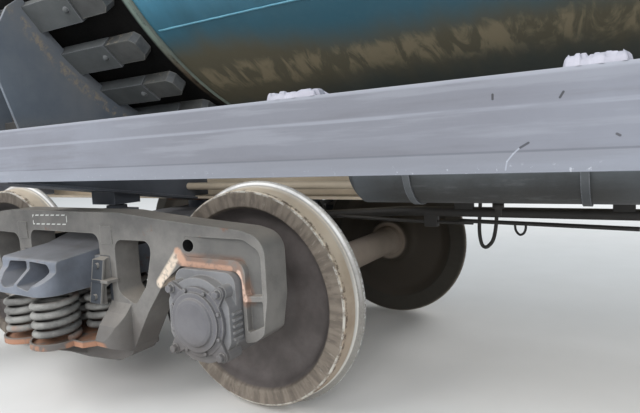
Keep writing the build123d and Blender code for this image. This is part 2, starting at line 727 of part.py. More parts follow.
def tank_shell():
    """The tank in five courses round the manhole's square crown: two ends, a belly and two flanks."""
    far, half, floor = TANK_LENGTH, CROWN_PATCH_HALF, NECK_TOP_Z - WELL_DEPTH
    whole = tank_body()
    limits = [  # x, y and z limits of each course
        (-far, -half, -far, far, -far, far),
        (half, far, -far, far, -far, far),
        (-half, half, -far, far, -far, floor),
        (-half, half, -far, -half, floor, far),
        (-half, half, half, far, floor, far),
    ]
    return [whole & block(*box) for box in limits]


def tank_crown():
    """The tank's top course under the neck, with the well through it down to the belly."""
    half, floor = CROWN_PATCH_HALF, NECK_TOP_Z - WELL_DEPTH
    crown = tank_body() & block(-half, half, -half, half, floor, TANK_LENGTH)
    return crown - rod((0, 0, floor - 1), (0, 0, NECK_TOP_Z), NECK_BORE_R)


def sector(r0, r1, a0, a1, x0, x1):
    """A curved plate about the tank's axis: radii, degrees from the bottom towards +Y, and x limits."""
    inner = arc((0, TANK_Z), r0, a0 - 90, a1 - 90)
    outer = arc((0, TANK_Z), r1, a0 - 90, a1 - 90)
    face = make_face([inner, Line(inner @ 1, outer @ 1), outer, Line(inner @ 0, outer @ 0)])
    return along(face, x0, x1)


def tank_bars():
    """Timber bars under the tank at both saddles, with chamfered ends."""
    r0 = TANK_R + DOUBLER_T + 2 * SEAT
    out = []
    for end in (-1, 1):
        for a in BAR_DEGREES:
            for s in (-1, 1):
                bar = block(-BAR_HALF_X, BAR_HALF_X, -BAR_W / 2, BAR_W / 2, -r0 - BAR_T, -r0)
                tips = bar.edges().filter_by(Axis.Z)
                bar = chamfer(tips, BAR_CHAMFER)
                groove = rod((-BAR_HALF_X - 1, 0, 0), (BAR_HALF_X + 1, 0, 0), r0)
                top = Pos(0, 0, 4) * bar
                out.append(Pos(end * PIVOT_X, 0, TANK_Z) * Rot(s * a, 0, 0) * (top - groove))
    return out


def bar_troughs():
    """Steel troughs that hold the bars on the saddle, a bolt boss near each end."""
    r1 = TANK_R + DOUBLER_T + 2 * SEAT + BAR_T
    half = BAR_W / 2 + SEAT
    low = -r1 + 4 - SEAT
    out = []
    for end in (-1, 1):
        for a in BAR_DEGREES:
            for s in (-1, 1):
                trough = block(-TROUGH_HALF_X, TROUGH_HALF_X, -half - TROUGH_T, half + TROUGH_T,
                               low - TROUGH_T, low + BAR_T - 14)
                trough -= block(-TROUGH_HALF_X - 1, TROUGH_HALF_X + 1, -half, half, low, low + BAR_T)
                for x in (-TROUGH_HALF_X + 44, TROUGH_HALF_X - 44):
                    trough += Pos(x, 0, low - TROUGH_T) * Sphere(14)
                trough -= block(-TROUGH_HALF_X, TROUGH_HALF_X, -half, half, low, low + 20)
                out.append(Pos(end * PIVOT_X, 0, TANK_Z) * Rot(s * a, 0, 0) * trough)
    return out


def saddle_webs():
    """Two upright plates over each bolster beam, cut to the tank's curve and notched for the bars."""
    low_z = SILL_TOP_Z + 10
    face = rounded(
        [(-1290, low_z), (1290, low_z), (1352, 1480), (1336, 1700), (1290, 1790), (1215, 1850),
         (-1215, 1850), (-1290, 1790), (-1336, 1700), (-1352, 1480)],
        [0, 60, 60, 60, 30, 0, 0, 30, 60, 60])
    half = BAR_W / 2 + TROUGH_T + 2 * SEAT
    deep = TANK_R + DOUBLER_T + SEAT + BAR_T - 4 + TROUGH_T + 3 * SEAT
    web = along(face, -SADDLE_WEB_T / 2, SADDLE_WEB_T / 2)
    web -= rod((-20, 0, TANK_Z), (20, 0, TANK_Z), SADDLE_IN_R)
    for a in BAR_DEGREES:
        for s in (-1, 1):
            notch = block(-20, 20, -half, half, -deep, -SADDLE_IN_R + 60)
            web -= Pos(0, 0, TANK_Z) * Rot(s * a, 0, 0) * notch
    out = []
    for end in (-1, 1):
        for side in (-1, 1):
            out.append(Pos(end * PIVOT_X + side * SADDLE_WEB_U, 0, 0) * web)
    return out


def doublers():
    """Sheets lapped round the tank's underside at the saddles."""
    r = TANK_R + SEAT
    return both_ends([
        sector(r, r + DOUBLER_T, -DOUBLER_HALF_DEG, DOUBLER_HALF_DEG,
               PIVOT_X - DOUBLER_HALF_X, PIVOT_X + DOUBLER_HALF_X)])


def centre_cradle():
    """Pads under the tank at mid-length, on plates that stand on the spine's top."""
    r = TANK_R + SEAT
    out = []
    for s in (-1, 1):
        ends = sorted((s * 3.0, s * 12.0))
        out.append(sector(r, r + 12, ends[0], ends[1], 220, 1100))
        ys = sorted((s * 140, s * 156))
        plate = block(240, 1080, ys[0], ys[1], SPINE_TOP_Z + SEAT, TANK_Z - TANK_R + 40)
        out.append(plate - rod((200, 0, TANK_Z), (1200, 0, TANK_Z), r + 12 + SEAT))
    return both_ends(out)


def straps():
    """A tension band over the tank at each saddle, between the webs."""
    r = TANK_R + SEAT
    half = 180 - STRAP_END_DEG
    return both_ends([sector(r, r + STRAP_T, 180 - half, 180 + half,
                             PIVOT_X - STRAP_W / 2, PIVOT_X + STRAP_W / 2)])


def strap_rods():
    """Draw rods from the bands' end lugs down to feet on the bolster beams."""
    out = []
    a = radians(STRAP_END_DEG)
    r = TANK_R + STRAP_T + 2 * SEAT
    y = (r + 18) * sin(a)
    z = TANK_Z - (r + 18) * cos(a)
    x = PIVOT_X
    half = STRAP_W / 2
    foot_y = 1240.0
    foot_z = SILL_TOP_Z + 10
    for s in (-1, 1):
        lug = block(x - half, x + half, s * y - 18, s * y + 18, z - 10, z + 40)
        lug += rod((x, s * y, z), (x, s * foot_y, foot_z + 40), 17)
        lug += block(x - half, x + half, s * foot_y - 30, s * foot_y + 30, foot_z, foot_z + 42)
        lug -= rod((x - 60, 0, TANK_Z), (x + 60, 0, TANK_Z), r)
        out.append(lug)
    return both_ends(out)


# The underframe

def spine():
    """The centre sill: two webs with outward bottom flanges and a joined top, open below."""
    y, t = SPINE_WEB_Y, SPINE_WEB_T
    z0, z1 = SPINE_BOTTOM_Z, SPINE_TOP_Z
    out_y = y + SPINE_FLANGE_OUT
    face = polygon([
        (-out_y, z0), (-y + t, z0), (-y + t, z1 - SPINE_FLANGE_T), (y - t, z1 - SPINE_FLANGE_T),
        (y - t, z0), (out_y, z0), (out_y, z0 + SPINE_FLANGE_T), (y, z0 + SPINE_FLANGE_T), (y, z1),
        (-y, z1), (-y, z0 + SPINE_FLANGE_T), (-out_y, z0 + SPINE_FLANGE_T)])
    body = along(face, -FRAME_HALF_X + END_BEAM_T + SEAT, FRAME_HALF_X - END_BEAM_T - SEAT)
    hole = Pos(0, 0, SPINE_TOP_Z) * Cylinder(DRAIN_FLANGE_R + 12, 80)
    return body - hole


def side_sills():
    """Channels along both sides, flanges inward."""
    f, t, h, z = SILL_FACE_Y, SILL_T, SILL_H, SILL_TOP_Z
    face = polygon([(f, z - h), (f, z), (f - SILL_FLANGE, z), (f - SILL_FLANGE, z - t), (f - t, z - t),
                    (f - t, z - h + t), (f - SILL_FLANGE, z - h + t), (f - SILL_FLANGE, z - h)])
    return both_sides([along(face, -FRAME_HALF_X + END_BEAM_T + SEAT, FRAME_HALF_X - END_BEAM_T - SEAT)])


def end_beams():
    """Flanged plates across both ends, with the coupler's window."""
    w = SILL_FACE_Y
    x = FRAME_HALF_X
    face = rounded(
        [(-w, SILL_TOP_Z - 240), (-520, 900), (520, 900), (w, SILL_TOP_Z - 240), (w, SILL_TOP_Z + 8),
         (-w, SILL_TOP_Z + 8)],
        [20, 60, 60, 20, 10, 10])
    beam = along(face, x - END_BEAM_T, x)
    beam -= block(x - 30, x + 1, -COUPLER_WINDOW_W / 2, COUPLER_WINDOW_W / 2,
                  COUPLER_Z - COUPLER_WINDOW_H / 2, COUPLER_Z + COUPLER_WINDOW_H / 2)
    beam += block(x - 90, x - END_BEAM_T + 1, -w, w, SILL_TOP_Z + SEAT, SILL_TOP_Z + 8)
    for s in (-1, 1):
        hole = rod((x - 30, s * PIPE_Y, COCK_Z), (x + 1, s * PIPE_Y, COCK_Z), PIPE_R + PIPE_HOLE_GAP)
        beam -= hole
    return both_ends([beam])


def strikers():
    """The cast frame round each coupler's shank, on the end beam's face."""
    x = FRAME_HALF_X + SEAT
    w, h = COUPLER_WINDOW_W, COUPLER_WINDOW_H
    face = rounded([(-w / 2 - 55, -h / 2 - 50), (w / 2 + 55, -h / 2 - 50), (w / 2 + 55, h / 2 + 60),
                    (-w / 2 - 55, h / 2 + 60)], [30] * 4)
    body = Pos(0, 0, COUPLER_Z) * along(face, x, x + 70)
    body = chamfer(body.faces().sort_by(Axis.X)[-1].edges(), 16)
    body -= block(x - 1, x + 80, -w / 2, w / 2, COUPLER_Z - h / 2, COUPLER_Z + h / 2)
    return both_ends([body])


def bolster_beams():
    """The frame's cross beams over the bogies: two webs each between a top and a bottom plate."""
    root_y = SPINE_WEB_Y + SEAT
    tip_y = SILL_FACE_Y - SILL_FLANGE - SEAT
    flange_y = SPINE_WEB_Y + SPINE_FLANGE_OUT + SEAT
    flange_z = SPINE_BOTTOM_Z + SPINE_FLANGE_T + SEAT
    top = SILL_TOP_Z
    fall = (BEAM_TIP_Z - BEAM_ROOT_Z) / (tip_y - root_y)
    half = SADDLE_WEB_T / 2

    def low(y):
        return BEAM_ROOT_Z + fall * (y - root_y)

    web = polygon([(flange_y, low(flange_y) + 10), (tip_y, low(tip_y) + 10), (tip_y, top), (root_y, top),
                   (root_y, flange_z), (flange_y, flange_z)])
    plate = polygon([(flange_y, low(flange_y)), (tip_y, low(tip_y)), (tip_y, low(tip_y) + 12),
                     (flange_y, low(flange_y) + 12)])
    arm = along(plate, -120, 120)
    for side in (-1, 1):
        arm += along(web, side * SADDLE_WEB_U - half, side * SADDLE_WEB_U + half)
    arm += block(-150, 150, root_y, tip_y, top - 2, top + 10 - SEAT)
    arm += block(-90, 90, SIDE_BEARING_Y - 80, SIDE_BEARING_Y + 80, SIDE_BEARING_Z, low(SIDE_BEARING_Y) + 20)
    arm -= rod((-200, PIPE_Y, PIPE_Z), (200, PIPE_Y, PIPE_Z), PIPE_R + SEAT)
    return both_ends(both_sides([Pos(PIVOT_X, 0, 0) * arm]))


def centre_plates():
    """The round plates under the spine that turn in the bogies' bowls."""
    body = Pos(PIVOT_X, 0, CENTRE_PLATE_Z + SEAT) * Cylinder(
        CENTRE_PLATE_R, SPINE_BOTTOM_Z - CENTRE_PLATE_Z - 2 * SEAT,
        align=(Align.CENTER, Align.CENTER, Align.MIN))
    body += block(PIVOT_X - 200, PIVOT_X + 200, -SPINE_WEB_Y - 60, SPINE_WEB_Y + 60,
                  SPINE_BOTTOM_Z - 14 - SEAT, SPINE_BOTTOM_Z - SEAT)
    return both_ends([body])


def outriggers():
    """Light brackets from the spine out to the side sills."""
    tip = SILL_FACE_Y - SILL_T - SEAT
    flange = SILL_FACE_Y - SILL_FLANGE - SEAT
    root = SPINE_WEB_Y + SEAT
    out = []
    for x in OUTRIGGER_X:
        face = polygon([(root, 1000), (flange, 1090), (tip, 1090), (tip, 1240), (flange, 1240),
                        (root, SPINE_TOP_Z)])
        arm = along(face, x - 5, x + 5)
        arm += block(x - 45, x + 45, root + 40, tip, 1232, 1240)
        out.append(arm)
    return both_sides(out)


# Couplers

def coupler():
    """One coupler at the +X end: a shank, a head with a large and a small tooth, and the lock."""
    z0, z1 = COUPLER_Z - SHANK_H / 2, COUPLER_Z + SHANK_H / 2
    face_x = COUPLER_FACE_X
    plan = [  # x, y, corner radius
        (COUPLER_PIN_X - 60, -SHANK_W / 2, 40),
        (face_x - 400, -SHANK_W / 2, 60),
        (face_x - 250, -210, 50),
        (face_x - 40, -225, 24),
        (face_x + 60, -170, 24),
        (face_x + 20, -90, 20),
        (face_x - 85, -70, 24),
        (face_x - 100, 60, 20),
        (face_x + 30, 100, 30),
        (face_x + 95, 120, 20),
        (face_x + 110, 190, 30),
        (face_x - 60, 290, 60),
        (face_x - 250, 200, 60),
        (face_x - 400, SHANK_W / 2, 60),
        (COUPLER_PIN_X - 60, SHANK_W / 2, 40),
    ]
    face = rounded([(x, y) for x, y, _ in plan], [r for _, _, r in plan])
    body = upright(face, z0, z1)
    head = rounded([(x, y) for x, y, _ in plan[2:13]], [r for _, _, r in plan[2:13]])
    body += upright(head, COUPLER_Z - 150, COUPLER_Z + 150)
    body -= rod((COUPLER_PIN_X, 0, z0 - 1), (COUPLER_PIN_X, 0, z1 + 1), 46)
    body += block(face_x - 110, face_x - 60, -58, 20, COUPLER_Z - 90, COUPLER_Z + 90)
    return body


def yokes():
    """The draft gear's yoke round each coupler's tail, up against the spine's top, with its pin."""
    gap = SHANK_H / 2 + YOKE_GAP
    thick = SPINE_TOP_Z - SPINE_FLANGE_T - SEAT - COUPLER_Z - gap
    x, w = COUPLER_PIN_X, YOKE_W / 2
    body = block(x - 760, x + 70, -w, w, COUPLER_Z - gap - thick, COUPLER_Z + gap + thick)
    body -= block(x - 730, x + 71, -w - 1, w + 1, COUPLER_Z - gap, COUPLER_Z + gap)
    body += block(x - 731, x - 90, -130, 130, COUPLER_Z - gap - 1, COUPLER_Z + gap + 1)
    body += rod((x, 0, COUPLER_Z - gap - 10), (x, 0, COUPLER_Z + gap + 10), 45)
    return both_ends([body])


# Brake gear under the frame

def reservoir():
    """The air reservoir, a drum with dished ends, lying along the car."""
    half, r = RESERVOIR_L / 2, RESERVOIR_R
    end = ((half, 30), (half - 18, r * 0.7), (half - 60, r))
    edges = [
        Line((-half, 0), (half, 0)),
        Line((half, 0), end[0]),
        ThreePointArc(*end),
        Line(end[2], (60 - half, r)),
        ThreePointArc(*[(-x, y) for x, y in reversed(end)]),
        Line((-half, 30), (-half, 0)),
    ]
    drum = revolve(Plane.XZ * make_face(edges), axis=Axis.X)
    return [Pos(RESERVOIR_X, RESERVOIR_Y, RESERVOIR_Z) * drum]


def hanging_bands(x, y, z, r, spread):
    """Bands round a drum that lies along the car, each with a block up to its cross bar."""
    out = []
    for dx in (-spread, spread):
        a, b = x + dx - 13, x + dx + 13
        hoop = rod((a, y, z), (b, y, z), r + 7)
        hoop += block(a, b, y - 80, y + 80, z + r - 12, CROSS_BAR_Z - SEAT)
        hoop -= rod((a - 1, y, z), (b + 1, y, z), r + SEAT)
        out.append(hoop)
    return out


def cross_bars():
    """Flat bars on edge from a side sill over the spine, which carry the drums."""
    out = []
    edge = SILL_FACE_Y - SILL_T - SEAT
    places = [(RESERVOIR_X + dx, -1) for dx in (-RESERVOIR_SPREAD, RESERVOIR_SPREAD)]
    places += [(CYLINDER_X + dx, 1) for dx in (-CYLINDER_SPREAD, CYLINDER_SPREAD)]
    for x, s in places:
        bar = block(x - 6, x + 6, *sorted((s * 100, s * edge)), CROSS_BAR_Z, CROSS_BAR_Z + 26)
        bar += block(x - 6, x + 6, *sorted((s * 100, s * 170)), SPINE_TOP_Z + SEAT, CROSS_BAR_Z + 20)
        out.append(bar)
    return out


def brake_cylinder():
    """The brake cylinder along the car, with its covers, rear bracket and push rod."""
    half, r = CYLINDER_L / 2, CYLINDER_R
    back = CYLINDER_X - LEVER_X_A - 60
    front = LEVER_X_B - CYLINDER_X - 60
    section = [  # x from the middle, radius
        (-back, 0), (-back, 30), (-half - 50, 30), (-half - 50, r - 80), (-half, r - 20), (-half, r + 24),
        (-half + 20, r + 24), (-half + 20, r), (half - 20, r), (half - 20, r + 24), (half, r + 24),
        (half + 20, 60), (half + 20, 34), (front, 34), (front, 0)]
    body = revolve(Plane.XZ * polygon(section), axis=Axis.X)
    half_t = LEVER_T / 2 + SEAT
    for s, end in ((-1, -back), (1, front)):
        xs = sorted((end - s * 10, end + s * 94))
        body += block(xs[0], xs[1], -26, 26, -30, 30)
        xs = sorted((end + s * 12, end + s * 95))
        body -= block(xs[0], xs[1], -27, 27, -half_t, half_t)
        body += rod((end + s * 60, 0, -50), (end + s * 60, 0, 50), 13)
    return [Pos(CYLINDER_X, CYLINDER_Y, CYLINDER_Z) * body]


def brake_levers():
    """The two flat levers at the brake cylinder's ends, reaching across under the spine."""
    out = []
    y0, y1 = ROD_Y - 50, CYLINDER_Y + 60
    for x in (LEVER_X_A, LEVER_X_B):
        face = rounded([(x - 26, y0), (x + 26, y0), (x + 34, y1), (x - 34, y1)], [24, 24, 32, 32])
        lever = upright(face, CYLINDER_Z - LEVER_T / 2, CYLINDER_Z + LEVER_T / 2)
        out.append(lever - rod((x, CYLINDER_Y, 700), (x, CYLINDER_Y, 1000), 13 + SEAT))
    return out


def pull_rods():
    """The long rods from the levers to the bogies, bending in to the bogies' middle."""
    out = []
    z0 = CYLINDER_Z - LEVER_T / 2 - ROD_R - SEAT
    for s, x0 in ((-1, LEVER_X_A), (1, LEVER_X_B)):
        x1 = s * (PIVOT_X - ROD_END_U)
        points = [(x0 - s * 40, ROD_Y, z0), (s * ROD_BEND_X, ROD_Y, z0), (x1, ROD_END_Y, ROD_END_Z)]
        main = bent_bar(points, 300, ROD_R)
        main += rod((x0, ROD_Y, z0), (x0, ROD_Y, CYLINDER_Z - LEVER_T / 2 - SEAT), 30)
        main += block(x1 - 40, x1 + 40, ROD_END_Y - 24, ROD_END_Y + 24, ROD_END_Z - 30, ROD_END_Z + 30)
        out.append(main)
    return out


def brake_pipe():
    """The air pipe beside the spine, crossing under it near one end, with a cock at each end."""
    x, y = FRAME_HALF_X, PIPE_Y
    points = [
        (-x - 60, -y, COCK_Z), (-x + 260, -y, COCK_Z), (-x + 520, -y, PIPE_Z),
        (PIPE_CROSS_X - 260, -y, PIPE_Z),
        (PIPE_CROSS_X, -y, PIPE_CROSS_Z), (PIPE_CROSS_X, y, PIPE_CROSS_Z), (x - 240, y, COCK_Z),
        (x + 60, y, COCK_Z)]
    pipe = bent_bar(points, 90, PIPE_R)
    for s in (-1, 1):
        xs = sorted((s * (x + 40), s * (x + 150)))
        pipe += rod((xs[0], s * y, COCK_Z), (xs[1], s * y, COCK_Z), PIPE_R + 11)
        xs = sorted((s * (x + 70), s * (x + 110)))
        pipe += block(*xs, *sorted((s * (y + 60), s * (y - 16))), COCK_Z + 20, COCK_Z + 44)
    return [pipe]


# The drain, manhole, platform and ladders

def drain():
    """The bottom outlet: a flanged stub under the tank and a long body between the webs."""
    z = TANK_Z - TANK_R
    up = (Align.CENTER, Align.CENTER, Align.MIN)
    body = Pos(0, 0, z - 50) * Cylinder(DRAIN_FLANGE_R, 60, align=up)
    body += Pos(0, 0, DRAIN_BOTTOM_Z) * Cylinder(DRAIN_R, z - 40 - DRAIN_BOTTOM_Z, align=up)
    body += Pos(0, 0, DRAIN_BOTTOM_Z) * Cylinder(DRAIN_R + 26, 28, align=up)
    body -= rod((-200, 0, TANK_Z), (200, 0, TANK_Z), TANK_R + SEAT)
    return [body]


def drain_cap():
    """The outlet's cap, with a bar across it and two lugs."""
    up = (Align.CENTER, Align.CENTER, Align.MIN)
    z = DRAIN_BOTTOM_Z - SEAT
    cap = Pos(0, 0, z - 30) * Cylinder(DRAIN_R + 20, 30, align=up)
    cap += block(-20, 20, -DRAIN_R - 54, DRAIN_R + 54, z - 62, z - 28)
    return [cap]


def manhole_neck():
    """The neck ring with its flange, and two lugs that the lid hinges between."""
    up = (Align.CENTER, Align.CENTER, Align.MIN)
    z0 = TANK_Z + sqrt(TANK_R ** 2 - (NECK_R + NECK_PAD_W) ** 2) - 20
    top = NECK_TOP_Z
    body = Pos(0, 0, z0) * Cylinder(NECK_R, top - z0, align=up)
    body += Pos(0, 0, top - NECK_FLANGE_T) * Cylinder(NECK_FLANGE_R, NECK_FLANGE_T, align=up)
    body += Pos(0, 0, z0) * Cylinder(NECK_R + NECK_PAD_W, 76, align=up)
    body -= Pos(0, 0, z0 - 1) * Cylinder(NECK_BORE_R, 600, align=up)
    body -= rod((-600, 0, TANK_Z), (600, 0, TANK_Z), TANK_R + SEAT)
    far = HINGE_Y + 26
    lug = polygon([(NECK_R - 4, top - 110), (far, top - 40), (far, HINGE_Z + 24),
                   (NECK_FLANGE_R + 8, HINGE_Z + 24),
                   (NECK_FLANGE_R + 8, top - 4), (NECK_R - 4, top - 4)])
    for s in (-1, 1):
        body += along(lug, s * HINGE_LUG_X - 9, s * HINGE_LUG_X + 9)
    body -= rod((-80, HINGE_Y, HINGE_Z), (80, HINGE_Y, HINGE_Z), HINGE_PIN_R + SEAT)
    return [body]


def lid():
    """The domed lid, with its rim, hinge eye, eight clamp ears and a handle."""
    z = NECK_TOP_Z + SEAT
    rim = NECK_FLANGE_R - 4
    edges = [
        Line((0, 0), (rim, 0)),
        Line((rim, 0), (rim, 30)),
        Line((rim, 30), (NECK_R - 12, 34)),
        ThreePointArc((NECK_R - 12, 34), (160, 86), (20, 106)),
        Line((20, 106), (0, 106)),
        Line((0, 106), (0, 0)),
    ]
    body = Pos(0, 0, z) * revolve(Plane.XZ * make_face(edges), axis=Axis.Z)
    for k in range(LID_EARS):
        turn = 360 / LID_EARS * (k + 0.5)
        body += Rot(0, 0, turn) * block(NECK_R + 8, NECK_FLANGE_R + 34, -24, 24, z, z + 32)
    body += block(-30, 30, NECK_R - 30, HINGE_Y, z + 4, z + 40)
    body += rod((-HINGE_EYE_HALF, HINGE_Y, HINGE_Z), (HINGE_EYE_HALF, HINGE_Y, HINGE_Z), 22)
    body -= rod((-80, HINGE_Y, HINGE_Z), (80, HINGE_Y, HINGE_Z), HINGE_PIN_R + SEAT)
    grip = [(-60, -180, z + 50), (-60, -180, z + 140), (60, -180, z + 140), (60, -180, z + 50)]
    body += bent_bar(grip, 24, 9)
    return [body]


def hinge_pin():
    """The pin through the neck's lugs and the lid's eye."""
    return [rod((-62, HINGE_Y, HINGE_Z), (62, HINGE_Y, HINGE_Z), HINGE_PIN_R)]


def safety_valves():
    """Two pressure valves beside the manhole, each a flanged body under a cap."""
    up = (Align.CENTER, Align.CENTER, Align.MIN)
    top = TANK_Z + TANK_R
    out = []
    for s in (-1, 1):
        x = s * VALVE_X
        body = Pos(x, 0, top - 20) * Cylinder(62, 120, align=up)
        body += Pos(x, 0, top + 40) * Cylinder(88, 26, align=up)
        body += Pos(x, 0, top + 100) * Cone(70, 40, 60, align=up)
        body -= rod((x - 120, 0, TANK_Z), (x + 120, 0, TANK_Z), TANK_R + SEAT)
        out.append(body)
    return out


def platform():
    """Slatted walkways both sides of the manhole, on brackets that stand on the tank."""
    z, y0, y1, half = DECK_Z, DECK_IN_Y, DECK_OUT_Y, DECK_HALF_X
    deck = block(-half, half, y0, y0 + 8, z - 50, z)
    deck += block(-half, half, y1 - 8, y1, z - 50, z)
    for k in range(DECK_SLATS):
        x = -half + (2 * half - SLAT_W) * k / (DECK_SLATS - 1)
        deck += block(x, x + SLAT_W, y0, y1, z - 12, z)
    for x in (-half + 100, half - 112):
        foot_z = TANK_Z + sqrt(TANK_R ** 2 - (y0 + 40) ** 2)
        low_z = TANK_Z + sqrt(TANK_R ** 2 - (y1 - 20) ** 2)
        face = polygon([(y0, foot_z - 60), (y1, low_z - 60), (y1, z - 49), (y0, z - 49)])
        deck += along(face, x, x + 12)
    deck -= rod((-half - 10, 0, TANK_Z), (half + 10, 0, TANK_Z), TANK_R + SEAT)
    return both_sides([deck])


def rails():
    """Hand rails round the outer edges of both walkways."""
    y = DECK_OUT_Y + RAIL_R + SEAT
    z0, z1 = DECK_Z - 50, RAIL_TOP_Z
    x = DECK_HALF_X - 30
    gate = LADDER_W / 2 + 60
    out = []
    for s in (-1, 1):
        rail = bent_bar([(s * x, y, z0), (s * x, y, z1), (s * gate, y, z1), (s * gate, y, z0)], 70, RAIL_R)
        mid = (z0 + z1) / 2
        rail += rod((s * x, y, mid), (s * gate, y, mid), RAIL_R - 4)
        out.append(rail)
    return both_sides(out)


def ladders():
    """One ladder up each side, following the tank's round side up to the walkway's edge."""
    r = TANK_R + LADDER_OFF
    corner = r / cos(radians(15))
    top_y = DECK_OUT_Y + STILE_R + SEAT
    low = (corner * cos(radians(15)), TANK_Z + corner * sin(radians(15)))
    high = (corner * cos(radians(45)), TANK_Z + corner * sin(radians(45)))
    last_z = high[1] + (high[0] - top_y) * tan(radians(30))
    bends = [(r, LADDER_BOTTOM_Z), low, high, (top_y, last_z), (top_y, DECK_Z + 6)]
    half = LADDER_W / 2
    ladder = None
    for dx in (-half, half):
        stile = bent_bar([(dx, y, z) for y, z in bends], LADDER_BEND_R, STILE_R)
        ladder = stile if ladder is None else ladder + stile

    # rungs at an even step along the stiles, left out at the sharp bend under the walkway
    travel = 60.0
    for (y0, z0), (y1, z1) in zip(bends, bends[1:]):
        length = sqrt((y1 - y0) ** 2 + (z1 - z0) ** 2)
        while travel < length:
            y = y0 + (y1 - y0) * travel / length
            z = z0 + (z1 - z0) * travel / length
            if abs(z - last_z) > 90 and z < DECK_Z - 60:
                ladder += rod((-half, y, z), (half, y, z), 11)
            travel += RUNG_STEP
        travel -= length

    # feet on the side sill's face
    for dx in (-half, half):
        ladder += block(dx - 15, dx + 15, SILL_FACE_Y + SEAT, r, SILL_TOP_Z - 90, SILL_TOP_Z - 50)
    return both_sides([ladder])


# Fittings at the car's ends and sides

def steps():
    """Corner steps under the ends of the side sills, each a bent flat bar with two treads."""
    out = []
    y = SILL_FACE_Y + SEAT
    for x in (FRAME_HALF_X - 480, FRAME_HALF_X - 80):
        leg = block(x - 25, x + 25, y, y + 8, STEP_Z, SILL_TOP_Z - 60)
        out.append(leg)
    low = out[0] + out[1]
    x0, x1 = FRAME_HALF_X - 505, FRAME_HALF_X - 55
    low += block(x0, x1, y - 170, y + 8, STEP_Z - 8, STEP_Z + 1)
    low += block(x0, x1, y - 120, y + 8, STEP_Z + 290, STEP_Z + 298)
    return both_ends(both_sides([low]))


def grab_rails():
    """Upright hand rails at the car's corners, standing on the side sills' faces."""
    y = SILL_FACE_Y + 50
    x = FRAME_HALF_X - 60
    points = [(x, SILL_FACE_Y + SEAT, SILL_TOP_Z - 30), (x, y, SILL_TOP_Z - 30), (x, y, SILL_TOP_Z + 820),
              (x - 420, y, SILL_TOP_Z + 820), (x - 420, y, SILL_TOP_Z - 30),
              (x - 420, SILL_FACE_Y + SEAT, SILL_TOP_Z - 30)]
    return both_ends(both_sides([bent_bar(points, 40, 14)]))


def release_levers():
    """The long cranked rods on the end beams that lift the couplers' locks."""
    x = FRAME_HALF_X + 45
    points = [(x, -SILL_FACE_Y + 80, COUPLER_Z - 60), (x, -SILL_FACE_Y + 80, COUPLER_Z + 110),
              (x, -COUPLER_WINDOW_W / 2 - 90, COUPLER_Z + 110),
              (x + 130, -COUPLER_WINDOW_W / 2 - 60, COUPLER_Z + 70)]
    bar = bent_bar(points, 36, 12)
    for y in (-SILL_FACE_Y + 180, -COUPLER_WINDOW_W / 2 - 190):
        bar += block(FRAME_HALF_X + SEAT, x + 16, y - 14, y + 14, COUPLER_Z + 90, COUPLER_Z + 130)
    return both_ends([bar])


def hand_brake():
    """The parking brake's wheel beside the side sill, with its shaft."""
    x, z = HAND_WHEEL_X, HAND_WHEEL_Z
    y = -SILL_FACE_Y - 40
    body = Pos(x, y, z) * Rot(90, 0, 0) * Torus(HAND_WHEEL_R, 13)
    body += ring(x, y - 22, y + 22, z, 30)
    for k in range(4):
        a = radians(45 + 90 * k)
        body += rod((x, y, z), (x + HAND_WHEEL_R * cos(a), y, z + HAND_WHEEL_R * sin(a)), 9)
    body += ring(x, y, HAND_SHAFT_IN_Y, z, 17)
    return [body]


def hand_brake_bracket():
    """The hanger that carries the hand wheel's shaft, from under the side sill to the spine."""
    x, z = HAND_WHEEL_X, HAND_WHEEL_Z
    top = SILL_TOP_Z - SILL_H - SEAT
    bracket = block(x - 40, x + 40, -SILL_FACE_Y + 10, -SPINE_WEB_Y - SEAT, top - 12, top)
    for y in (-SILL_FACE_Y + 10, HAND_SHAFT_IN_Y + 60):
        bracket += block(x - 40, x + 40, y, y + 12, z - 40, top)
    bracket -= ring(x, -SILL_FACE_Y - 10, -500, z, 17 + SEAT)
    return [bracket]


def distributor():
    """The air distributor on its plate beside the spine."""
    x, y, z = DISTRIBUTOR_X, SPINE_WEB_Y + SEAT, 1080.0
    body = block(x - 130, x + 130, y, y + 120, z - 90, z + 90)
    body = fillet(body.edges().filter_by(Axis.Y), 30)
    body += rod((x - 190, y + 130, z), (x + 190, y + 130, z), 70)
    return [body]


write_wheelsets()
write_bogies()
write("tank_shell", tank_shell())
write("tank_crown", [tank_crown()])
write("tank_pads", doublers() + centre_cradle())
write("tank_bars", tank_bars())
write("bar_troughs", bar_troughs())
write("saddle_webs", saddle_webs())
write("tank_straps", straps() + strap_rods())
write("spine", [spine()])
write("side_sills", side_sills())
write("end_beams", end_beams() + strikers())
write("bolster_beams", bolster_beams())
write("centre_plates", centre_plates())
write("cross_members", outriggers() + cross_bars())
write("coupler_a", [Rot(0, 0, 180) * coupler()])
write("coupler_b", [coupler()])
write("yokes", yokes())
write("air_reservoir", reservoir())
write("drum_bands", hanging_bands(RESERVOIR_X, RESERVOIR_Y, RESERVOIR_Z, RESERVOIR_R, RESERVOIR_SPREAD)
      + hanging_bands(CYLINDER_X, CYLINDER_Y, CYLINDER_Z, CYLINDER_R, CYLINDER_SPREAD))
write("brake_cylinder", brake_cylinder() + distributor())
write("brake_rods", brake_levers() + pull_rods())
write("brake_pipe", brake_pipe())
write("drain_valve", drain() + drain_cap())
write("manhole_neck", manhole_neck())
write("manhole_lid", lid())
write("hinge_pin", hinge_pin())
write("safety_valves", safety_valves())
write("walkways", platform())
write("hand_rails", rails() + grab_rails())
write("ladders", ladders() + steps())
write("release_levers", release_levers())
write("hand_brake", hand_brake() + hand_brake_bracket())
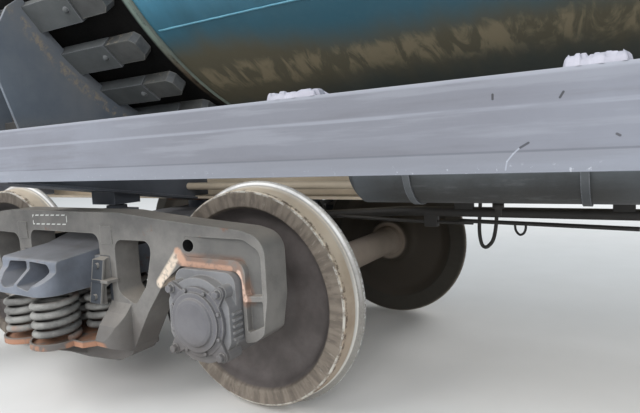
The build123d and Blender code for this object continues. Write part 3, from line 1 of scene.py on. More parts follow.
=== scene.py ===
"""Finishes, small fittings, light and view for a four-axle railway tank car. Metres, in the car's frame."""
import math
import bmesh
import bpy
import numpy as np
from mathutils import Matrix, Vector


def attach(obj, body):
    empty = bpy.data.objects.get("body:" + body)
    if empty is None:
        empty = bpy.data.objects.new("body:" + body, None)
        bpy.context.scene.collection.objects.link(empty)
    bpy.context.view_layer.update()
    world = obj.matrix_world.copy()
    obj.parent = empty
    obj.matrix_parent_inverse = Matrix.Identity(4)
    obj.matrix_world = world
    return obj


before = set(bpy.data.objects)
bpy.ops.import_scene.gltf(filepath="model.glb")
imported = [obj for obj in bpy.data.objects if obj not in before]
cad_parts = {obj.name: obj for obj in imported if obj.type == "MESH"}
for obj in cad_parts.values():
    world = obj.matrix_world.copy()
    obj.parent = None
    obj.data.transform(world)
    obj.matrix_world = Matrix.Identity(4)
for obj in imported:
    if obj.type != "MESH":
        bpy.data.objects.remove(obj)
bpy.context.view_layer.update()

# Places in the CAD. u runs along the car from a bogie's pivot.
PIVOT = 3.9
AXLE_U, AXLE_Z = 0.925, 0.5065
ROUND_HOLE_U, ROUND_HOLE_Z = 0.8235, 0.780
TANK_Z, TANK_R = 2.778, 1.5
HEAD_X = 4.86              # where the tank's straight part ends
DOUBLER_HALF_X = 0.637     # half the length of each sheet under the tank
DOUBLER_DEGREES = 58       # and half its arc
DRUM_X, DRUM_Y, DRUM_Z = -1.957, -0.7, 1.07
SILL_TOP_Z = 1.2665


# Shader expressions

class Field:
    """A number, colour or vector that varies over a surface. Arithmetic between numbers adds Math nodes."""

    def __init__(self, finish, socket):
        self.finish, self.socket = finish, socket

    def math(self, operation, *values):
        return self.finish.node("ShaderNodeMath", {"operation": operation}, dict(enumerate(values)))

    def __add__(self, other):
        return self.math("ADD", self, other)

    __radd__ = __add__

    def __sub__(self, other):
        return self.math("SUBTRACT", self, other)

    def __rsub__(self, other):
        return self.math("SUBTRACT", other, self)

    def __mul__(self, other):
        return self.math("MULTIPLY", self, other)

    __rmul__ = __mul__

    def __truediv__(self, other):
        return self.math("DIVIDE", self, other)

    def __neg__(self):
        return self.math("MULTIPLY", self, -1.0)

    def __abs__(self):
        return self.math("ABSOLUTE", self)

    def least(self, other):
        return self.math("MINIMUM", self, other)

    def most(self, other):
        return self.math("MAXIMUM", self, other)

    def root(self):
        return self.math("SQRT", self)

    def band(self, low, high):
        """0 at low, 1 at high and smooth between; low may be above high."""
        settings = {"interpolation_type": "SMOOTHSTEP"}
        return self.finish.node("ShaderNodeMapRange", settings, {"Value": self, 1: low, 2: high})


class Finish:
    """A procedural material, from its constants and the fields that vary over the surface."""

    def __init__(self, name, **constants):
        self.material = bpy.data.materials.new(name)
        self.material.use_nodes = True
        self.tree = self.material.node_tree
        self.shader = self.tree.nodes["Principled BSDF"]
        for key, value in constants.items():
            self.shader.inputs[key.replace("_", " ")].default_value = value
        self.place = self.node("ShaderNodeTexCoord", out="Object")
        self.normal = self.node("ShaderNodeNewGeometry", out="Normal")
        self.x, self.y, self.z = self.parts(self.place)
        self.ahead, self.side, self.up = self.parts(self.normal)

    def parts(self, vector):
        """The X, Y and Z of a vector field."""
        node = self.node("ShaderNodeSeparateXYZ", {}, {0: vector}).socket.node
        return [Field(self, output) for output in node.outputs]

    def node(self, kind, settings=None, values=None, out=0):
        """One output of a new node, with its settings and the values or fields on its inputs."""
        made = self.tree.nodes.new(kind)
        for key, value in (settings or {}).items():
            setattr(made, key, value)
        for key, value in (values or {}).items():
            if isinstance(value, Field):
                self.tree.links.new(value.socket, made.inputs[key])
            else:
                made.inputs[key].default_value = value
        return Field(self, made.outputs[out])

    def noise(self, scale, detail, rough, stretch=(1, 1, 1), shift=(0, 0, 0), warp=0.0, place=None):
        """Cloudy pattern from 0 to 1 with about scale lumps a metre. Its places come stretched and shifted
        from the object's coordinates, or as they are from the vector field place."""
        moved = {"Vector": self.place, "Scale": stretch, "Location": shift}
        place = place or self.node("ShaderNodeMapping", {}, moved)
        values = {"Vector": place, "Scale": scale, "Detail": detail, "Roughness": rough, "Distortion": warp}
        return self.node("ShaderNodeTexNoise", {}, values)

    def cells(self, scale):
        """Distance to the nearest of about scale random points a metre."""
        return self.node("ShaderNodeTexVoronoi", {}, {"Vector": self.place, "Scale": scale}, "Distance")

    def mix(self, mask, a, b):
        """Colour a where the mask is 0 and b where it is 1."""
        return self.node("ShaderNodeMix", {"data_type": "RGBA"}, {0: mask, 6: a, 7: b}, 2)

    def rounded(self, radius):
        """The normal with edges rounded by radius."""
        return self.node("ShaderNodeBevel", {"samples": 4}, {"Radius": radius})

    def edges(self, radius):
        """1 on sharp edges and 0 on open faces: how far a rounded normal leans from the true one."""
        pair = {0: self.rounded(radius), 1: self.normal}
        return (1 - self.node("ShaderNodeVectorMath", {"operation": "DOT_PRODUCT"}, pair, "Value")) * 4

    def bump(self, height, distance, strength, soft=0.0):
        """A normal from a height field, over edges rounded by the radius soft."""
        values = {"Height": height, "Distance": distance, "Strength": strength}
        if soft:
            values["Normal"] = self.rounded(soft)
        return self.node("ShaderNodeBump", {}, values)

    def done(self, **fields):
        """The material, with each field joined to the shader's input of its name."""
        for key, field in fields.items():
            self.tree.links.new(field.socket, self.shader.inputs[key.replace("_", " ")])
        return self.material


def tone(r, g, b):
    """Screen values from 0 to 255 as a linear colour."""
    screen = [c / 255 for c in (r, g, b)]
    return (*[c / 12.92 if c <= 0.04045 else ((c + 0.055) / 1.055) ** 2.4 for c in screen], 1.0)


RUST = tone(126, 78, 50)
DUST = tone(150, 145, 133)
# A dark tone: stains in the flat paints, and painted shade under the spring coils.
GRIME_AND_SHADE = tone(44, 40, 37)

# In the finishes, bands of places and distances are in metres, unless a docstring says otherwise. Bands of
# patterns are levels from 0 to 1, and those of ahead, side and up are parts of the normal, from -1 to 1.


def tank_finish():
    """Blue-green paint, faded and streaked above and darker below, with brown dirt low on the flank, a row
    of pale drips in it, a dark teal belly and dark runs under the manhole. Heights are in tank radii."""
    m = Finish("tank_paint_weathered")
    cloud = m.noise(1.3, 6, 0.6)
    streak = m.noise(5.0, 7, 0.62, stretch=(2.6, 0.5, 0.22))
    fine = m.noise(40, 5, 0.6)
    height = (m.z - TANK_Z) / TANK_R
    wander = (streak - 0.5) * 0.07 + (cloud - 0.5) * 0.10
    paint = m.mix(cloud.band(0.35, 0.7), tone(66, 129, 156), tone(82, 146, 173))
    open_side = (height + wander).band(-0.62, -0.30)
    faded = m.mix(cloud.band(0.35, 0.7), tone(48, 98, 120), tone(66, 116, 136))
    paint = m.mix(open_side, paint, faded)
    low = (height + wander).band(-0.60, -0.78)
    paint = m.mix(low, paint, tone(46, 88, 104))
    paint = m.mix(fine.band(0.45, 0.8) * 0.12, paint, tone(92, 120, 126))
    near_doubler = abs(abs(m.x) - PIVOT).band(1.5, 0.8)
    sunk = height + (streak - 0.5) * 0.035 + (cloud - 0.5) * 0.03 - near_doubler * 0.04
    brown = sunk.band(-0.790, -0.862)
    paint = m.mix(brown * 0.92, paint, tone(88, 80, 60))
    ragged = m.noise(17, 6, 0.62, stretch=(1.1, 0.5, 0.7), warp=0.9)
    row_top = (height + (ragged - 0.5) * 0.05).band(-0.836, -0.856)
    row_foot = (height + (ragged - 0.5) * 0.06).band(-0.904, -0.876)
    drips = row_top * row_foot * m.noise(9, 5, 0.6, stretch=(1.3, 0.4, 0.5), warp=1.2).band(0.44, 0.58)
    paint = m.mix(drips * 0.7, paint, tone(138, 126, 102))
    belly = height + (streak - 0.5) * 0.05 + (cloud - 0.5) * 0.05 + near_doubler * 0.03
    belly = belly.band(-0.875, -0.935)
    paint = m.mix(belly * 0.9, paint, tone(56, 66, 66))
    stains = m.noise(9, 6, 0.6, stretch=(2.4, 0.5, 0.10)).band(0.54, 0.70)
    paint = m.mix(stains * open_side * 0.5, paint, tone(52, 66, 66))
    run = m.noise(7, 6, 0.6, stretch=(2.6, 0.5, 0.12)).band(0.46, 0.60)
    spill = abs(m.x + (streak - 0.5) * 0.9).band(0.85, 0.25) * run
    paint = m.mix(spill * open_side * 0.65, paint, tone(46, 40, 34))
    dust = m.up.band(0.5, 1.0) * fine.band(0.3, 0.7)
    paint = m.mix(dust * 0.55, paint, DUST)
    rough = 0.34 + brown * 0.3 + fine * 0.16
    relief = m.bump(fine * 0.4 + streak, 0.0015, 0.3, soft=0.004)
    return m.done(Base_Color=paint, Roughness=rough, Normal=relief)


def doubler_finish():
    """Near-black on the sheets under the tank: grime, deepened into painted shade between the bars, with a
    light strip along each curved edge, grey-green above and browner below. Heights are in tank radii."""
    m = Finish("doubler_grime_and_painted_shade", Specular_IOR_Level=0.12)
    cloud = m.noise(4.0, 6, 0.6)
    fine = m.noise(90, 4, 0.6)
    # Painted shade: this near-black stands in for the shade between the bars over the sheets.
    colour = m.mix(cloud.band(0.35, 0.7), tone(7, 7, 7), tone(15, 14, 13))
    u = abs(abs(m.x) - PIVOT)
    height = (m.z - TANK_Z) / TANK_R
    ragged = m.noise(30, 6, 0.7, stretch=(1, 0.6, 0.4))
    strip = u.band(0.594, 0.612) * (height + (ragged - 0.5) * 0.12).band(-0.955, -0.80)
    edge_strip_tone = m.mix(height.band(-0.74, -0.86), tone(122, 136, 128), tone(104, 92, 78))
    colour = m.mix(strip * (ragged.band(0.30, 0.5) * 0.5 + 0.5), colour, edge_strip_tone)
    relief = m.bump(fine + cloud, 0.0015, 0.5, soft=0.003)
    return m.done(Base_Color=colour, Roughness=0.75 + fine * 0.2, Normal=relief)


def sill_finish():
    """Lavender-grey primer on the sills: darker beside each bogie's inner end, with faint level streaks, a
    crease drawn as a dark line of painted shade, a light line, a painted highlight on the edges and the top
    edge, pale specks at the foot and a few scratches near two pads."""
    m = Finish("sill_primer")
    cloud = m.noise(2.0, 6, 0.6, stretch=(0.5, 1, 1))
    level = m.noise(13, 6, 0.6, stretch=(0.10, 1, 1.5))
    fine = m.noise(90, 4, 0.6)
    colour = m.mix(cloud.band(0.32, 0.68), tone(110, 112, 121), tone(124, 128, 138))
    ends = abs(abs(m.x) - 2.35).band(0.95, 0.25)
    colour = m.mix(ends * 0.7, colour, tone(100, 101, 108))
    colour = m.mix(level.band(0.50, 0.68) * 0.45, colour, tone(92, 92, 98))
    colour = m.mix(level.band(0.46, 0.34) * 0.30, colour, tone(140, 143, 151))
    outward = abs(m.side).band(0.6, 0.9)
    below = m.z.band(1.1125, 1.1085)
    colour = m.mix(below * 0.25, colour, tone(138, 143, 152))
    # Painted shade: a dark line where the sill is creased.
    crease = m.z.band(1.1075, 1.1095) * m.z.band(1.1140, 1.1115) * level.band(0.36, 0.50)
    colour = m.mix(crease * outward * 0.55, colour, tone(80, 82, 90))
    light_line = m.z.band(1.1935, 1.1970) * m.z.band(1.2060, 1.2010) * level.band(0.38, 0.52)
    colour = m.mix(light_line * outward * 0.30, colour, tone(158, 162, 172))
    for a, b, width, shade, share in (
        ((-1.802, 1.228), (-1.802, 1.219), 0.0032, tone(40, 40, 44), 0.9),
        ((-1.670, 1.221), (-1.676, 1.211), 0.0030, tone(40, 40, 44), 0.9),
        ((-1.580, 1.136), (-1.575, 1.133), 0.0032, tone(48, 47, 50), 0.8),
        ((-1.7335, 1.127), (-1.749, 1.118), 0.0030, tone(52, 52, 58), 0.9),
        ((-1.752, 1.116), (-1.763, 1.106), 0.0020, tone(160, 164, 174), 0.6),
        ((-1.763, 1.106), (-1.775, 1.091), 0.0020, tone(160, 164, 174), 0.6),
        ((-1.775, 1.091), (-1.778, 1.074), 0.0020, tone(160, 164, 174), 0.5),
    ):
        colour = m.mix(near_line(m.x, m.z, a, b, width) * outward * share, colour, shade)
    specks = m.noise(75, 4, 0.7).band(0.62, 0.70) * m.z.band(1.092, 1.072)
    colour = m.mix(specks * 0.6, colour, tone(182, 185, 192))
    spots = m.noise(24, 7, 0.7).band(0.72, 0.78)
    colour = m.mix(spots * 0.2, colour, RUST)
    # Painted highlight: the edges and the top edge of the sill are lightened.
    rim = m.edges(0.006).least(1.0)
    top = m.z.band(1.256, 1.262)
    colour = m.mix((rim * 0.25 + top * 0.4).least(1.0), colour, tone(158, 161, 170))
    settled = m.up.band(0.6, 0.98) * (cloud * 0.6 + fine * 0.6).least(1.0)
    colour = m.mix(settled * 0.3, colour, DUST)
    relief = m.bump(fine * 0.5 + level, 0.0012, 0.4, soft=0.003)
    return m.done(Base_Color=colour, Roughness=0.55 + fine * 0.2, Normal=relief)


def drum_finish():
    """Thin dark paint on the drum, brushed along its length, with a pale bluish painted highlight on its top
    and ends.
    """
    m = Finish("drum_paint")
    brushed = m.noise(16, 6, 0.65, stretch=(0.35, 1.4, 1.4))
    cloud = m.noise(3, 6, 0.6)
    fine = m.noise(120, 4, 0.6)
    colour = m.mix(cloud.band(0.3, 0.7), tone(38, 38, 38), tone(54, 54, 53))
    # Painted highlight: lighter and bluish towards the top of the drum.
    painted_top_highlight = (m.z + (brushed - 0.5) * 0.10 + (cloud - 0.5) * 0.10).band(0.95, 1.10)
    colour = m.mix(painted_top_highlight * 0.75, colour, tone(84, 91, 96))
    # Painted highlight: lighter and bluish towards both ends of the drum as well.
    ends = abs(abs(m.x) + DRUM_X).band(0.30, 0.52)
    colour = m.mix(ends * 0.45, colour, tone(92, 98, 104))
    colour = m.mix(brushed.band(0.56, 0.70) * 0.35, colour, tone(96, 98, 98))
    relief = m.bump(fine * 0.5 + brushed, 0.001, 0.4)
    return m.done(Base_Color=colour, Roughness=0.5 + fine * 0.25, Normal=relief)


def saddle_finish():
    """Blue-grey primer on the saddle webs, with beige weld dirt where the troughs meet them, and lighter
    grey low down.
    """
    m = Finish("saddle_primer")
    cloud = m.noise(2.2, 6, 0.6)
    fine = m.noise(90, 4, 0.6)
    colour = m.mix(cloud.band(0.32, 0.68), tone(86, 94, 104), tone(104, 112, 122))
    streak = m.noise(6, 6, 0.6, stretch=(1, 1.6, 0.25)).band(0.55, 0.7)
    colour = m.mix(streak * 0.25, colour, tone(66, 70, 78))
    height = m.z - TANK_Z
    radius = (m.y * m.y + height * height).root()
    ragged = m.noise(26, 7, 0.72)
    seam = radius.band(1.650, 1.625) * radius.band(1.585, 1.600) * ragged.band(0.46, 0.60)
    colour = m.mix(seam * 0.75, colour, tone(150, 137, 116))
    near_bars = radius.band(1.95, 1.62) * cloud.band(0.35, 0.65)
    colour = m.mix(near_bars * 0.35, colour, tone(112, 106, 98))
    low = m.z.band(1.36, 1.28) * fine.band(0.2, 0.6)
    colour = m.mix(low * 0.5, colour, tone(124, 122, 120))
    rim = m.edges(0.007).least(1.0)
    colour = m.mix(rim * fine.band(0.3, 0.6) * 0.5, colour, tone(150, 152, 160))
    relief = m.bump(fine * 0.5 + cloud, 0.0012, 0.4, soft=0.003)
    return m.done(Base_Color=colour, Roughness=0.55 + fine * 0.2, Normal=relief)


def bar_finish():
    """Grey paint on the bars under the tank, with worn edges and beige dirt; the faces that point along the
    car are a lighter bluish grey, painted light.
    """
    m = Finish("bar_paint_dusty")
    grain = m.noise(22, 6, 0.6, stretch=(0.25, 1, 1), warp=0.3)
    cloud = m.noise(5, 6, 0.6)
    colour = m.mix(cloud.band(0.32, 0.68), tone(56, 57, 57), tone(80, 81, 80))
    colour = m.mix(grain.band(0.56, 0.72) * 0.4, colour, tone(62, 56, 50))
    # Painted light: the faces that point along the car get a lighter bluish grey, as if lit by the sky.
    ends = (1 - abs(m.ahead)).band(0.75, 0.3)
    colour = m.mix(ends * 0.75, colour, m.mix(grain.band(0.35, 0.65), tone(66, 70, 74), tone(88, 91, 94)))
    rim = m.edges(0.01).least(1.0) * grain.band(0.3, 0.55)
    colour = m.mix(rim * 0.45, colour, tone(150, 148, 140))
    dirt = m.noise(34, 7, 0.7).band(0.52, 0.64) * m.up.band(0.3, 0.9)
    colour = m.mix(dirt * 0.7, colour, tone(150, 138, 116))
    relief = m.bump(grain, 0.002, 0.6, soft=0.005)
    return m.done(Base_Color=colour, Roughness=0.66 + grain * 0.2, Normal=relief)


def flat_paint(name, light, dark, rust, dust, matt=0.55, edge=tone(150, 152, 160)):
    """Flat primer with stains, scuffed edges of another tone, specks of rust and dust on what faces up."""
    m = Finish(name)
    cloud = m.noise(2.2, 6, 0.6)
    stain = m.noise(7.0, 6, 0.65, stretch=(0.35, 1, 1.6))
    fine = m.noise(90, 4, 0.6)
    colour = m.mix(cloud.band(0.32, 0.68), dark, light)
    colour = m.mix(stain.band(0.55, 0.78) * 0.35, colour, GRIME_AND_SHADE)
    spots = m.noise(24, 7, 0.7).band(0.72 - rust * 0.2, 0.80 - rust * 0.2)
    rim = m.edges(0.0075)
    colour = m.mix((rim * fine.band(0.3, 0.6)).least(1.0) * 0.5, colour, edge)
    colour = m.mix(spots * rust * 2.2, colour, RUST)
    settled = m.up.band(0.6, 0.98) * (cloud * 0.6 + fine * 0.6).least(1.0)
    colour = m.mix(settled * dust, colour, DUST)
    rough = matt + fine * 0.2 - rim.least(1.0) * 0.1
    relief = m.bump(fine * 0.5 + cloud, 0.0012, 0.4, soft=0.003)
    return m.done(Base_Color=colour, Roughness=rough, Normal=relief)


def cast_finish(name, light, dark, rust, dust=0.4, marks=False):
    """Thin paint on rough castings: grainy, worn light on edges, rust in patches, grime low down, painted
    shade on what faces down, pale dust on what faces up."""
    m = Finish(name)
    cloud = m.noise(3.5, 6, 0.62)
    grain = m.noise(150, 4, 0.65)
    pits = m.cells(70)
    colour = m.mix(cloud.band(0.35, 0.66), dark, light)
    patch = m.noise(6.5, 8, 0.68, shift=(3, 1, 0))
    rusty = patch.band(0.66 - rust * 0.16, 0.74 - rust * 0.14)
    rim = m.edges(0.009)
    colour = m.mix((rim * grain.band(0.25, 0.6)).least(1.0) * 0.5, colour, tone(165, 163, 157))
    colour = m.mix(rusty * 0.75, colour, RUST)
    grime = m.noise(2.6, 8, 0.7, shift=(0, 4, 2)).band(0.50, 0.68)
    colour = m.mix(grime * 0.35, colour, tone(72, 66, 60))
    soiled = m.z.band(0.50, 0.36) * (0.5 + cloud.band(0.30, 0.6) * 0.5)
    colour = m.mix(soiled * 0.75, colour, tone(84, 79, 76))
    # Painted shade: faces that point down are darkened.
    under = (-m.up).band(0.3, 1.0)
    colour = m.mix(under * 0.45, colour, tone(62, 54, 48))
    settled = m.up.band(0.4, 0.95) * (cloud * 0.5 + grain * 0.7).least(1.0)
    colour = m.mix(settled * dust * (0.35 + m.z.band(0.40, 0.54) * 0.65), colour, tone(170, 161, 150))
    if marks:
        colour = jaw_marks(m, colour)
    relief = m.bump(grain * 0.35 + pits * 0.3 + patch * 0.8, 0.0022, 0.55, soft=0.006)
    return m.done(Base_Color=colour, Roughness=0.62 + grain * 0.22, Normal=relief)


def near_line(across, height, a, b, width):
    """1 on the segment from a to b in the plane (across, height), 0 at the width's distance from it."""
    length = math.dist(a, b)
    dx, dz = (b[0] - a[0]) / length, (b[1] - a[1]) / length
    along = ((across - a[0]) * dx + (height - a[1]) * dz).most(0.0).least(length)
    off_x = across - a[0] - along * dx
    off_z = height - a[1] - along * dz
    off = off_x * off_x + off_z * off_z
    return off.band(width * width, width * width * 0.15)


def jaw_marks(m, colour):
    """On a side frame: orange chipped edges round each axle box opening with two painted highlights, a rusty
    wavy lip on the spring tray, painted shade in the round hole and the recesses, darker boss plates, and a
    dashed paint frame on the top."""
    along = abs(m.x) - PIVOT
    u = abs(along)
    ragged = m.noise(38, 6, 0.7).band(0.30, 0.52)
    soft = m.noise(14, 6, 0.7).band(0.25, 0.6)
    for a, b, width, shade, broken in (
        ((0.778, 0.722), (1.060, 0.716), 0.036, tone(134, 110, 97), soft),
        ((1.070, 0.716), (1.112, 0.580), 0.030, tone(138, 112, 98), soft),
        ((0.800, 0.706), (1.040, 0.702), 0.016, tone(178, 142, 122), ragged),
        # The next two strokes, near white, are painted highlights on the opening's right bend and left end;
        # the rest are orange chipped paint.
        ((1.080, 0.690), (1.104, 0.590), 0.014, tone(214, 182, 164), ragged),
        ((0.764, 0.740), (0.650, 0.612), 0.026, tone(212, 196, 178), ragged),
        ((0.768, 0.752), (0.790, 0.716), 0.026, tone(190, 152, 130), ragged),
    ):
        colour = m.mix(near_line(u, m.z, a, b, width) * broken, colour, shade)
    lip = m.z.band(0.350, 0.338) * m.z.band(0.300, 0.312) * u.band(0.40, 0.36)
    wave = m.noise(12, 5, 0.6, stretch=(1, 1, 0.6), warp=0.8).band(0.36, 0.56)
    colour = m.mix(lip * wave * 0.75, colour, tone(168, 118, 88))
    outward = abs(m.side).band(0.5, 0.8)
    left, right = ((ROUND_HOLE_U + off, ROUND_HOLE_Z) for off in (-0.002, 0.002))
    # Painted shade: the round hole's inner walls, which face away from the side, are darkened to near black.
    hole = near_line(u, m.z, left, right, 0.060)
    colour = m.mix(hole * (1 - outward), colour, tone(18, 17, 17))
    # Painted shade: the recessed web between the flanges is darkened.
    recess = outward * abs(m.y).band(1.074, 1.064) * abs(m.y).band(1.02, 1.03)
    colour = m.mix(recess * 0.35, colour, tone(74, 76, 76))
    plate = m.z.band(0.500, 0.510) * m.z.band(0.712, 0.704)
    plate = plate * u.band(0.268, 0.274) * u.band(0.342, 0.337)
    colour = m.mix(plate * outward * 0.95, colour, tone(42, 48, 56))
    corners = ((-0.045, 0.886), (0.232, 0.880), (0.232, 0.836), (-0.045, 0.842))
    left, top, right, foot = (near_line(along, m.z, corners[k - 1], corners[k], 0.0035) for k in range(4))
    outline = top.most(foot).most(left).most(right)
    dashes = along.math("PINGPONG", along + m.z * 0.9, 0.021).band(0.006, 0.009)
    return m.mix(outline * dashes * outward * 0.9, colour, tone(225, 226, 222))


def wheel_finish():
    """Brown-grey web, dusty rim face with radial cracks of dirt, tan tread chipped along its outer edge,
    bright running line, and a grey flange. The inner side is darkened as painted shade; tread and flange
    grow lighter upwards as painted light, with a painted highlight along the flange's top and outer edge."""
    m = Finish("wheel_worn")
    u = abs(abs(m.x) - PIVOT) - AXLE_U
    up = m.z - AXLE_Z
    radius = (u * u + up * up).root()
    turn = up.math("ARCTAN2", up, u)
    across = abs(m.y)
    spread = m.node("ShaderNodeCombineXYZ", {}, {0: turn * 9.0, 1: radius * 5.0, 2: across * 6.0})
    cracks = m.noise(4.0, 7.0, 0.7, place=spread)
    cloud = m.noise(6, 6, 0.6)
    fine = m.noise(120, 4, 0.6)
    web = m.mix(cloud.band(0.3, 0.7), tone(74, 68, 66), tone(96, 89, 87))
    # Painted shade: the inner side of each wheel, web and rim face, is darkened as if in the shade under the
    # car.
    inner_side_painted_shade = across.band(0.780, 0.760) * radius.band(0.462, 0.456)
    inner_side_painted_shade = inner_side_painted_shade.most(across.band(0.727, 0.723))
    web = m.mix(inner_side_painted_shade, web, tone(52, 45, 36))
    blocks = m.noise(1.4, 3.0, 0.6, place=spread)
    face = m.mix(blocks.band(0.38, 0.62), tone(98, 89, 80), tone(122, 112, 101))
    face = m.mix(cracks.band(0.60, 0.70) * 0.5, face, tone(70, 60, 52))
    face = m.mix(cracks.band(0.42, 0.34) * 0.5, face, tone(150, 142, 130))
    blots = m.noise(11, 7, 0.7).band(0.55, 0.68)
    face = m.mix(blots * 0.5, face, tone(84, 74, 66))
    face = m.mix(inner_side_painted_shade * 0.95, face, tone(40, 37, 30))
    rim = radius.band(0.392, 0.402)
    colour = m.mix(rim, web, face)
    tread = radius.band(0.464, 0.470) * across.band(0.849, 0.845) * across.band(0.728, 0.731)
    tan = m.mix(cloud.band(0.3, 0.7), tone(148, 131, 112), tone(172, 156, 138))
    # Painted light: lit copies of the tan and, below, of the grey, mixed in by height so tread and flange
    # look lit from above.
    painted_lit_tan = m.mix(cloud.band(0.3, 0.7), tone(200, 184, 162), tone(220, 205, 184))
    high = up.band(-0.05, 0.36)
    tan = m.mix(high, tan, painted_lit_tan)
    flange = across.band(0.757, 0.753) * radius.band(0.481, 0.486)
    grey = m.mix(fine, tone(104, 100, 94), tone(150, 147, 142))
    painted_lit_grey = m.mix(fine, tone(146, 142, 137), tone(186, 183, 179))
    # Painted highlight: a near-white band on the flange, shown only towards the top.
    flange_painted_highlight = radius.band(0.487, 0.492) * radius.band(0.502, 0.497) * (0.35 + cloud.band(0.35, 0.55) * 0.65)
    flange_with_painted_light = m.mix(flange_painted_highlight * high, m.mix(high, grey, painted_lit_grey), tone(238, 237, 236))
    tan = m.mix(flange, tan, flange_with_painted_light)
    chips = across.band(0.822, 0.834) * m.noise(24, 7, 0.75).band(0.47, 0.56)
    tan = m.mix(chips * 0.8, tan, tone(74, 58, 46))
    # Painted highlight: a near-white glint round the flange's outer edge.
    flange_tip_painted_highlight = radius.band(0.5035, 0.5055) * m.noise(60, 6, 0.75).band(0.46, 0.58)
    tan = m.mix(flange_tip_painted_highlight * 0.8, tan, tone(206, 206, 204))
    colour = m.mix(tread * (1 - inner_side_painted_shade), colour, tan)
    shine = across.band(0.752, 0.757) * across.band(0.778, 0.768) * radius.band(0.468, 0.471)
    colour = m.mix(shine * (0.9 - high * 0.55), colour, tone(222, 221, 216))
    hub = radius.band(0.13, 0.115)
    axle = m.mix(cloud, tone(112, 100, 90), tone(146, 134, 121))
    colour = m.mix(hub, colour, axle)
    outline = radius.band(0.462, 0.466) * across.band(0.843, 0.846)
    outline = outline * m.noise(22, 6, 0.75).band(0.38, 0.60)
    colour = m.mix(outline * 0.75, colour, tone(204, 200, 190))
    rough = 0.66 - shine * 0.36 + fine * 0.15
    relief = m.bump(cracks * rim + fine * 0.2 + cloud * 0.3, 0.0018, 0.7, soft=0.004)
    return m.done(Base_Color=colour, Roughness=rough, Metallic=shine * 0.25, Normal=relief)


def spring_finish():
    """Light grey paint on round bar, rubbed brown where the coils touch and towards both ends."""
    m = Finish("spring_paint_worn")
    cloud = m.noise(9, 6, 0.65)
    fine = m.noise(160, 4, 0.6)
    colour = m.mix(cloud.band(0.35, 0.65), tone(88, 87, 85), tone(134, 133, 129))
    ends = m.z.band(0.385, 0.345).most(m.z.band(0.52, 0.555))
    ends = ends.most(m.noise(4.5, 4, 0.6, shift=(2, 5, 1)).band(0.56, 0.66))
    colour = m.mix(ends * cloud.band(0.35, 0.6) * 0.75, colour, tone(142, 100, 76))
    # Painted shade: faces that point down are darkened.
    colour = m.mix((-m.up).band(0.2, 0.9) * 0.5, colour, GRIME_AND_SHADE)
    relief = m.bump(fine + cloud, 0.001, 0.5)
    return m.done(Base_Color=colour, Roughness=0.55 + fine * 0.2, Normal=relief)


# Flat paints: name, light tone, dark tone, then shares of rust and dust and what differs from the usual.
finishes = {
    "tank_paint": tank_finish(),
    "frame_paint": sill_finish(),
    "saddle": saddle_finish(),
    # Painted light: the spine's beige is lightened beyond its paint as if lit, and dust settles on its top.
    "spine": flat_paint("spine_dust_and_painted_light", tone(214, 198, 175), tone(184, 170, 149), 0.1, 0.5),
    "under": flat_paint("underframe_paint", tone(86, 91, 100), tone(64, 68, 76), 0.4, 0.4),
    "drum": drum_finish(),
    "band": flat_paint("band_paint", tone(82, 85, 88), tone(60, 63, 66), 0.2, 0.3),
    # Painted light: the brake pipe gets the same lightened beige as the spine, and dust on its top.
    "pipe": flat_paint("pipe_dust_and_painted_light", tone(208, 193, 171), tone(182, 168, 148), 0.1, 0.5),
    "gear": flat_paint("brake_gear_paint", tone(36, 33, 30), tone(22, 20, 18), 0.25, 0.2,
                       edge=tone(84, 80, 76)),
    # The doubler sheets' near-black finish: grime deepened into painted shade.
    "grime": doubler_finish(),
    "trough": flat_paint("trough_paint", tone(88, 91, 92), tone(62, 65, 66), 0.3, 0.35),
    "frames": cast_finish("side_frame_casting", tone(126, 123, 119), tone(98, 96, 94), 0.25, 0.95,
                          marks=True),
    "bolster": cast_finish("bolster_casting", tone(112, 117, 127), tone(92, 97, 106), 0.2, 0.35),
    "boxes": cast_finish("axle_box_casting", tone(126, 126, 128), tone(104, 104, 106), 0.2),
    "covers": cast_finish("box_cover_paint", tone(102, 101, 104), tone(86, 85, 89), 0.05, 0.3),
    "coupler": cast_finish("coupler_casting", tone(78, 68, 60), tone(56, 48, 43), 1.0),
    "wheel": wheel_finish(),
    "timber": bar_finish(),
    "spring": spring_finish(),
    "deck": flat_paint("deck_paint", tone(112, 117, 121), tone(88, 93, 98), 0.5, 0.6),
    "lid": flat_paint("hatch_paint", tone(70, 104, 114), tone(46, 82, 94), 0.35, 0.6),
    "bead": flat_paint("weld_bead_paint", tone(112, 122, 112), tone(88, 96, 90), 0.5, 0.4),
    # Painted highlight: the tank's weld beads take a lighter copy of the tank's blue.
    "seam": flat_paint("seam_paint_painted_highlight", tone(112, 176, 196), tone(76, 138, 160), 0.05, 0.2),
    "cement": flat_paint("cement_spill", tone(178, 177, 187), tone(146, 144, 153), 0.1, 0.2, matt=0.85),
    "bright": flat_paint("zinc_bolts", tone(168, 170, 172), tone(120, 122, 126), 0.4, 0.2, matt=0.3),
}
